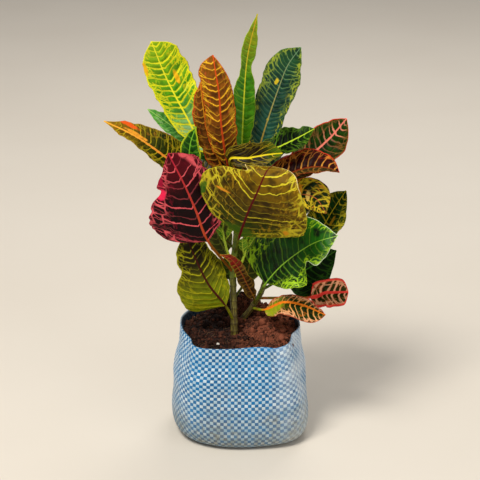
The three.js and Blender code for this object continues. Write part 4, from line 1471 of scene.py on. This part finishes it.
def painted(leaf, face):
    """All the layers of one face, with the midrib and the stalk."""
    colour = rims(leaf, face, veins(leaf, face, ground(leaf, face)))
    rib_width = face["rib_width"] * (1.1 - 0.6 * leaf.reach) * (0.75 + 0.5 * leaf.mottling)
    rib = 1 - (leaf.off - rib_width).between(*RIB_SOFTNESS)
    colour = leaf.mix(rib, colour, leaf.mix(leaf.reach, face["rib"], face["rib_tip"]))
    stalk = leaf.mix(leaf.mottling.between(0.4, 0.8) * 0.5, face["stalk"], face["rib"])
    return leaf.mix(leaf.length.between(*STALK_END), stalk, colour)


def leaf_finish(name, upper, lower=None, pitch=USUAL["pitch"]):
    """A leaf's skin from one palette or two."""
    shown = upper or lower
    leaf = LeafPaint(name, shown["coat"], shown["shine"], pitch)
    lower = lower or dulled(upper)
    upper = upper or dulled(lower)
    colour = leaf.mix(leaf.under.between(0.4, 0.6), painted(leaf, upper), painted(leaf, lower))
    leaf.set("Base Color", colour)
    leaf.set("Roughness", 0.36 + leaf.under * 0.12 + leaf.mottling * 0.16)
    leaf.bump(leaf.mottling * 0.5 + leaf.grain * 0.5, LEAF_RELIEF)
    return leaf


# %% Colours of each leaf
UPPER = {
    "leaf_tall": palette(
        "1c5a02", "388004", "8ab828", "b4dc2c", vein_share=0.3, net=0.1, tip="a8a80c", tip_share=0.8,
        tip_start=0.45, rib_tip="d8a424", edge="a8c824", edge_width=1.0, base="5c9c0c", base_share=0.5,
        patch="0c3a02", shine=0.2,
    ),
    "leaf_deep": palette(
        "062a20", "164434", "3c7450", "b08c24", far="a8b828", rib_tip="64906c", vein_width=0.5, net=0.75,
        net_start=0.4, edge="4c8c2c", tip="1e561c", tip_share=0.6, base="2c6e5c", base_share=0.5,
        patch="031410", patch_share=0.6, fleck="c8cc20", fleck_share=0.5, fleck_start=0.5, span=(0.3, 0.7),
        shine=0.25, spots=[("e6c81e", -5, 92, 2.5, 4), ("d8c830", 0, 46, 1.6, 2)],
    ),
    # The lime leaf's pale whitish-green base is a painted highlight.
    "leaf_lime": palette(
        "287c04", "5cae0c", "ece81c", "f6f02c", vein_width=1.1, cast="a8cc20", cast_share=0.65,
        cast_width=2.8, edge="f0ec14", edge_width=2.8, edge_share=0.95, net=0.7, net_start=0.4,
        rib_width=1.3, weak=0.0, base="b4dca0", base_share=0.8, patch="186008", patch_share=0.6,
        fleck="f0dc18", fleck_share=0.6, tip="a8c80c", tip_share=0.6, tip_start=0.45, shine=0.2,
        spots=[("f8b810", 12, 96, 3, 9), ("f8b810", -21, 122, 3, 9)],
    ),
    "leaf_olive": palette(
        "120a02", "2c2002", "a89414", "e4d01c", tip="4c6c08", tip_share=0.95, net=0.3, edge="807410",
        cast_share=0.1, weak=0.2, rib_width=1.5, fleck="605810", fleck_share=0.25,
    ),
    "leaf_midnight": palette(
        "020a02", "041404", "588418", "b8d42c", net=0.45, net_start=0.4, tip="2c5c0c", tip_share=0.35,
        weak=0.5, cast_share=0.05, fleck="5c881c", fleck_share=0.25, rib_width=1.2, shine=0.05,
    ),
    "leaf_sprig": palette(
        "307828", "60b04c", "88c454", "a8d870", net=0.2, vein_share=0.4, base="1c5a30", base_share=0.5,
        fleck="a8d08c", fleck_share=0.5, fleck_start=0.0,
    ),
    "leaf_ember": palette(
        "1a2402", "364004", "c8b41c", "f0802c", net=0.45, net_start=0.35, rib_width=1.8, vein_width=0.62,
        vein_share=0.8, tip="a0700c", tip_share=0.75, tip_start=0.5, edge="c09418", far="c0ac1c",
        rib_tip="f0b038", fleck="b8781c", fleck_share=0.3, weak=0.15, cast_share=0.12,
        spots=[("f05a18", 9, 112, 2.5, 14), ("f0a02c", 3, 100, 2, 16)],
    ),
    "leaf_rose": palette(
        "0a1e04", "1c4008", "f09080", "f08470", vein_width=1.1, weak=0.4, net=0.2, rib_width=1.9,
        edge="f03424", edge_width=1.5, far="c88c34", cast_share=0.1, fade=(0.35, 0.75), fleck="b05020",
        fleck_share=0.2,
    ),
    "leaf_maroon": palette(
        "180302", "380603", "e0a040", "a03c14", vein_width=0.95, net=0.7, net_start=0.5, edge="f03420",
        edge_width=1.6, cast_share=0.1, weak=0.0, far="d87828", fleck="8c2410", fleck_share=0.5,
    ),
    "leaf_spring": palette(
        "0c3204", "1a4e08", "5c9c24", "78bc30", vein_share=0.5, edge="b8c818", edge_width=2.4, net=0.2,
    ),
    "leaf_blotch": palette(
        "0c1c04", "1a3008", "e0c828", "c06838", net=0.9, net_start=0.2, weak=0.15, edge="a03020",
        vein_width=1.1, base="0c0a06", base_share=0.9, span=(0.1, 0.3), fleck="f0a420", fleck_share=0.8,
        fleck_start=0.1, spots=[("f8ac24", -6, 36, 8, 3.5), ("fcd468", 2, 46, 8, 3)],
    ),
    "leaf_right": palette(
        "0a280a", "1a4414", "c8b828", "dcc42c", weak=0.25, net=0.6, vein_width=0.9, fleck="b0a01c",
        fleck_share=0.5, edge="8ca824", spots=[("f8b81c", -3, 30, 3, 3), ("d8a01c", 8, 62, 2, 8)],
    ),
    # The gloss leaf's pale lip is a painted highlight.
    "leaf_gloss": palette(
        "032004", "0c4406", "7cb828", "9cd43c", vein_width=0.55, vein_share=0.4, net=0.9, net_start=0.5,
        edge="b0dc24", edge_width=1.4, rib_width=0.8, tip="2c8408", tip_share=0.7, tip_start=0.35,
        patch="010c02", patch_share=0.95, fleck="a8d418", fleck_share=0.9, fleck_start=0.4, shine=0.2,
        coat=0.03, far="b0dc20", lip="d8e8c8", lip_start=0.55, lip_share=0.8,
    ),
    "leaf_shade": palette(
        "021002", "082608", "3c7418", "3c7418", net=0.3, vein_share=0.25, patch="010702", patch_share=0.8,
        fleck="2c6410", fleck_share=0.4,
    ),
    # The blush leaf's coral lip along its whole edge is a painted highlight.
    "leaf_blush": palette(
        "182404", "34440c", "ffbc90", "ff4840", vein_width=1.3, weak=0.0, net=0.9, net_start=0.4,
        net_size=7, edge="ff4038", edge_width=4.4, edge_share=0.98, rib_width=2.5, cast="ff5030",
        fleck="ff8450", fleck_share=0.4, stalk="8c7424", lip="ff5850", lip_start=0.0, lip_share=0.9,
    ),
    "leaf_thin": palette(
        "241004", "44290a", "8c6c20", "7c5418", edge="b08c20", tip="7c1410", vein_share=0.6, tip_share=0.9,
        tip_start=0.5, tip_end=0.75, net=0.3, rib_tip="a03420",
    ),
    "leaf_flame": palette(
        "0a1c04", "243c06", "f0a01c", "f8841c", far="ffb890", vein_width=0.95, weak=0.0, net=0.8,
        net_start=0.4, edge="e04a3c", edge_width=1.4, rib_width=2.0, cast="7c780c", cast_share=0.25,
        base="8c980c", base_share=0.95, patch="0a1802", patch_share=0.7, fleck="e87c14", fleck_share=0.35,
        fleck_start=0.2, stalk="90a01c", spots=[("98a818", 6, 16, 9, 16)],
    ),
    "leaf_back_1": palette("184c0e", "2f7a14", "a8bc24", "b8c830", edge="b8bc1c"),
    "leaf_back_2": palette("381a08", "60340a", "c88828", "c84818", edge="b84418", edge_width=1.6),
    "leaf_back_3": palette("082a16", "12422a", "7f9e30", "98a830", net=0.7),
    "leaf_back_4": palette("261e06", "403608", "c8ac20", "d08024", net=0.7, tip="7a8a14"),
    "leaf_back_5": palette("1e0608", "380c0e", "c84c54", "c84030", edge="c83040", edge_width=1.8),
    "leaf_back_6": palette("08280e", "123e14", "a4a830", "b8b830", net=0.8, net_start=0.35),
    "leaf_back_7": palette("242006", "3c380a", "d0b420", "d08424", net=0.6, rib_width=1.8),
    "leaf_back_8": palette("1c0404", "380c08", "c88444", "b04024", net=0.9, edge="cc3428", edge_width=1.6),
    "leaf_back_9": palette("0c2408", "1c3c10", "7c8c28", "8c9830", edge="7c8020", edge_width=1.2),
    "leaf_back_10": palette("06220e", "103816", "84a030", "98ac30", net=0.7),
    "leaf_back_11": palette("1c5410", "34741a", "84b83c", "94bc44", net=0.3),
    "leaf_back_12": palette("0c2c0a", "1c4414", "8c9430", "a88c30", edge="a07424", edge_width=1.4),
    "leaf_back_13": palette("082410", "123c18", "989e30", "b0a830", net=0.5),
    "leaf_back_14": palette("104a10", "226a18", "7cb030", "8cb83c", net=0.4),
    "leaf_back_15": palette("0c300c", "1c4c14", "6c9430", "80a838", net=0.3),
}
LOWER = {
    "leaf_bronze": palette(
        "583004", "8c500a", "e8ac24", "b03c10", far="f0bc24", edge="e0601c", edge_width=1.6, rib_width=1.3,
        net=0.3, rib_tip="d04c14", tip="84500a", patch="341402", base="3c1a04", base_share=0.6,
        fleck="b8501c", fleck_share=0.5, vein_width=0.7, weak=0.0,
    ),
    "leaf_bronze_low": palette(
        "402204", "744208", "c88c24", "e0941c", edge="d8541c", edge_width=1.6, net=0.3,
        spots=[("4c0810", -3, 84, 2.5, 5)], base="24120a", base_share=0.7, fleck="b8501c", fleck_share=0.5,
    ),
    # The butterfly leaf's pale lip along its top edge is a painted highlight.
    "leaf_butterfly": palette(
        "221802", "504004", "dccc2c", "56080c", vein_width=0.7, net=0.7, net_start=0.6, net_size=11,
        edge="c0b81c", edge_width=1.5, rib_width=1.5, cast="8c7814", cast_share=0.45, cast_width=3,
        base="2c4404", base_share=0.7, tip="8c6804", tip_start=0.25, tip_share=0.7, patch="1c1202",
        patch_share=0.75, fleck="b08814", fleck_share=0.45, fleck_start=0.2, lip="f4d8a8", lip_start=0.72,
        lip_share=0.9,
        spots=[
            ("f09c24", 37, 64, 9, 2), ("d8941c", -50, 44, 4, 6), ("2c5c0c", 60, 52, 5, 12),
            ("3c5c08", 8, 12, 30, 10),
        ],
    ),
    # The wine leaf's second spot, magenta near the upper left, is a painted highlight; the first, pink, is
    # its own colour.
    "leaf_wine": palette(
        "0e0304", "1a0407", "e45c64", "b8481c", vein_width=1.0, net=0.9, net_start=0.5, net_size=12,
        edge="c02c50", edge_width=1.3, rib_tip="b01c38", rib_width=1.4, weak=0.2, cast="3c0414",
        tip="5c0212", tip_share=0.85, tip_start=0.45, fleck="90082c", fleck_share=0.4, stalk="84500f",
        spots=[("f02854", 32, 76, 7, 8), ("a00c34", 26, 96, 5, 12)],
    ),
    "leaf_moss": palette(
        "505004", "707408", "a8a414", "48140c", vein_width=0.6, net=0.4, edge="b0ac14", edge_width=1.6,
        tip="140c02", tip_share=0.95, tip_start=0.28, tip_end=0.6, rib_tip="2c0804", rib_width=1.3,
        cast_share=0.3, base="7c900a", base_share=0.6, fleck="b0a80a", fleck_share=0.4, stalk="8c9014",
    ),
}

# %% [markdown]
# The leaves are made one by one. Leaves that face the viewer with their upper side are painted from
# that side, and those that turn their back are painted from below.

# %% Make the leaves
leaves = {node: whole(leaf) for node, leaf in LEAVES.items()}
leaves.update({node: whole(BACK, leaf) for node, leaf in BACK_LEAVES.items()})
for number, (node, leaf) in enumerate(leaves.items(), start=1):
    blade = Leaf(leaf, number).piece(node.replace("leaf", "blade"))
    finish = leaf_finish(node + "_skin", UPPER.get(node), LOWER.get(node), leaf["pitch"])
    hand_over(blade, finish, node)

# %% [markdown]
# ## Side shoots
#
# Low on the main stem two side shoots have just opened. Each is a short green stem with four small
# leaves, joined into one piece. The small leaves use the same form with smaller measures.

# %% Side shoots
YOUNG = dict(stalk=0.8, half=7, wave=(0, 1, 0), pitch=4.5)
YOUNG_SIDES = 16
YOUNG_STEPS = 60
YOUNG_STEP = 0.9
YOUNG_NUMBER = 60
YOUNG_RISE = 26
YOUNG_ROUTE = (0.3, 0.7, 1.1)
SHOOTS = {
    "shoot_left": dict(
        height=212, route=[(-15, -5, 232), (-18, -8, 248), (-20, -9, 260)], radii=(1.8, 1.1),
        leaves=[(237, -14, 6), (243, 12, -14), (251, -16, -8), (257, 2, -10)],
    ),
    "shoot_right": dict(
        height=194, route=[(3, -3, 214), (7, -5, 228), (9, -7, 238)], radii=(1.8, 1.1),
        leaves=[(216, 14, 4), (222, -2, -14), (230, 14, -8), (236, 2, 6)],
    ),
}
YOUNG_SKIN = palette(
    "2c7a0c", "60a81c", "b8d430", "c8e048", net=0.2, edge="b8d428", vein_width=0.5, rib_width=0.6,
    edge_width=0.6, stalk="5c8c14",
)


def shoot_piece(name, shoot, first):
    """A side shoot: its stem and its small leaves, joined into one piece."""
    foot = seat({"stem": MAIN, "height": shoot["height"]}, shoot["route"][0])
    stem = dict(route=[foot, *shoot["route"]], radii=shoot["radii"])
    made = [tube(name, stem, YOUNG_SIDES, YOUNG_STEPS, lambda angle, length: 0)]
    for k, (height, x, y) in enumerate(shoot["leaves"]):
        axis, _, _ = stem_at(stem, height)
        route = [axis + Vector((x, y, YOUNG_RISE)) * share for share in YOUNG_ROUTE]
        leaf = whole(YOUNG, {"route": route, "top": [(-x, -y, 8), (-x, -y, 14)]})
        made.append(Leaf(leaf, first + k, axis).piece(name + str(k), step=YOUNG_STEP))
    return join(made)


for k, (node, shoot) in enumerate(SHOOTS.items()):
    finish = leaf_finish(node + "_skin", YOUNG_SKIN, pitch=YOUNG["pitch"])
    hand_over(shoot_piece(node + "_growth", shoot, YOUNG_NUMBER + 10 * k), finish, node)

# %% [markdown]
# ## How far the finer pieces reach, and the end
#
# The last cell measures how far the finer pieces stand out of the solids' box at its low and high corners,
# in millimetres, and prints it.

# %% Boxes, and the end
new_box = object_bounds()
growth = [round((b - a) / MM, 1) for old, new in zip(cad_box, new_box) for a, b in zip(old, new)]
print("mm beyond the solids' box, low and high corners:", growth)
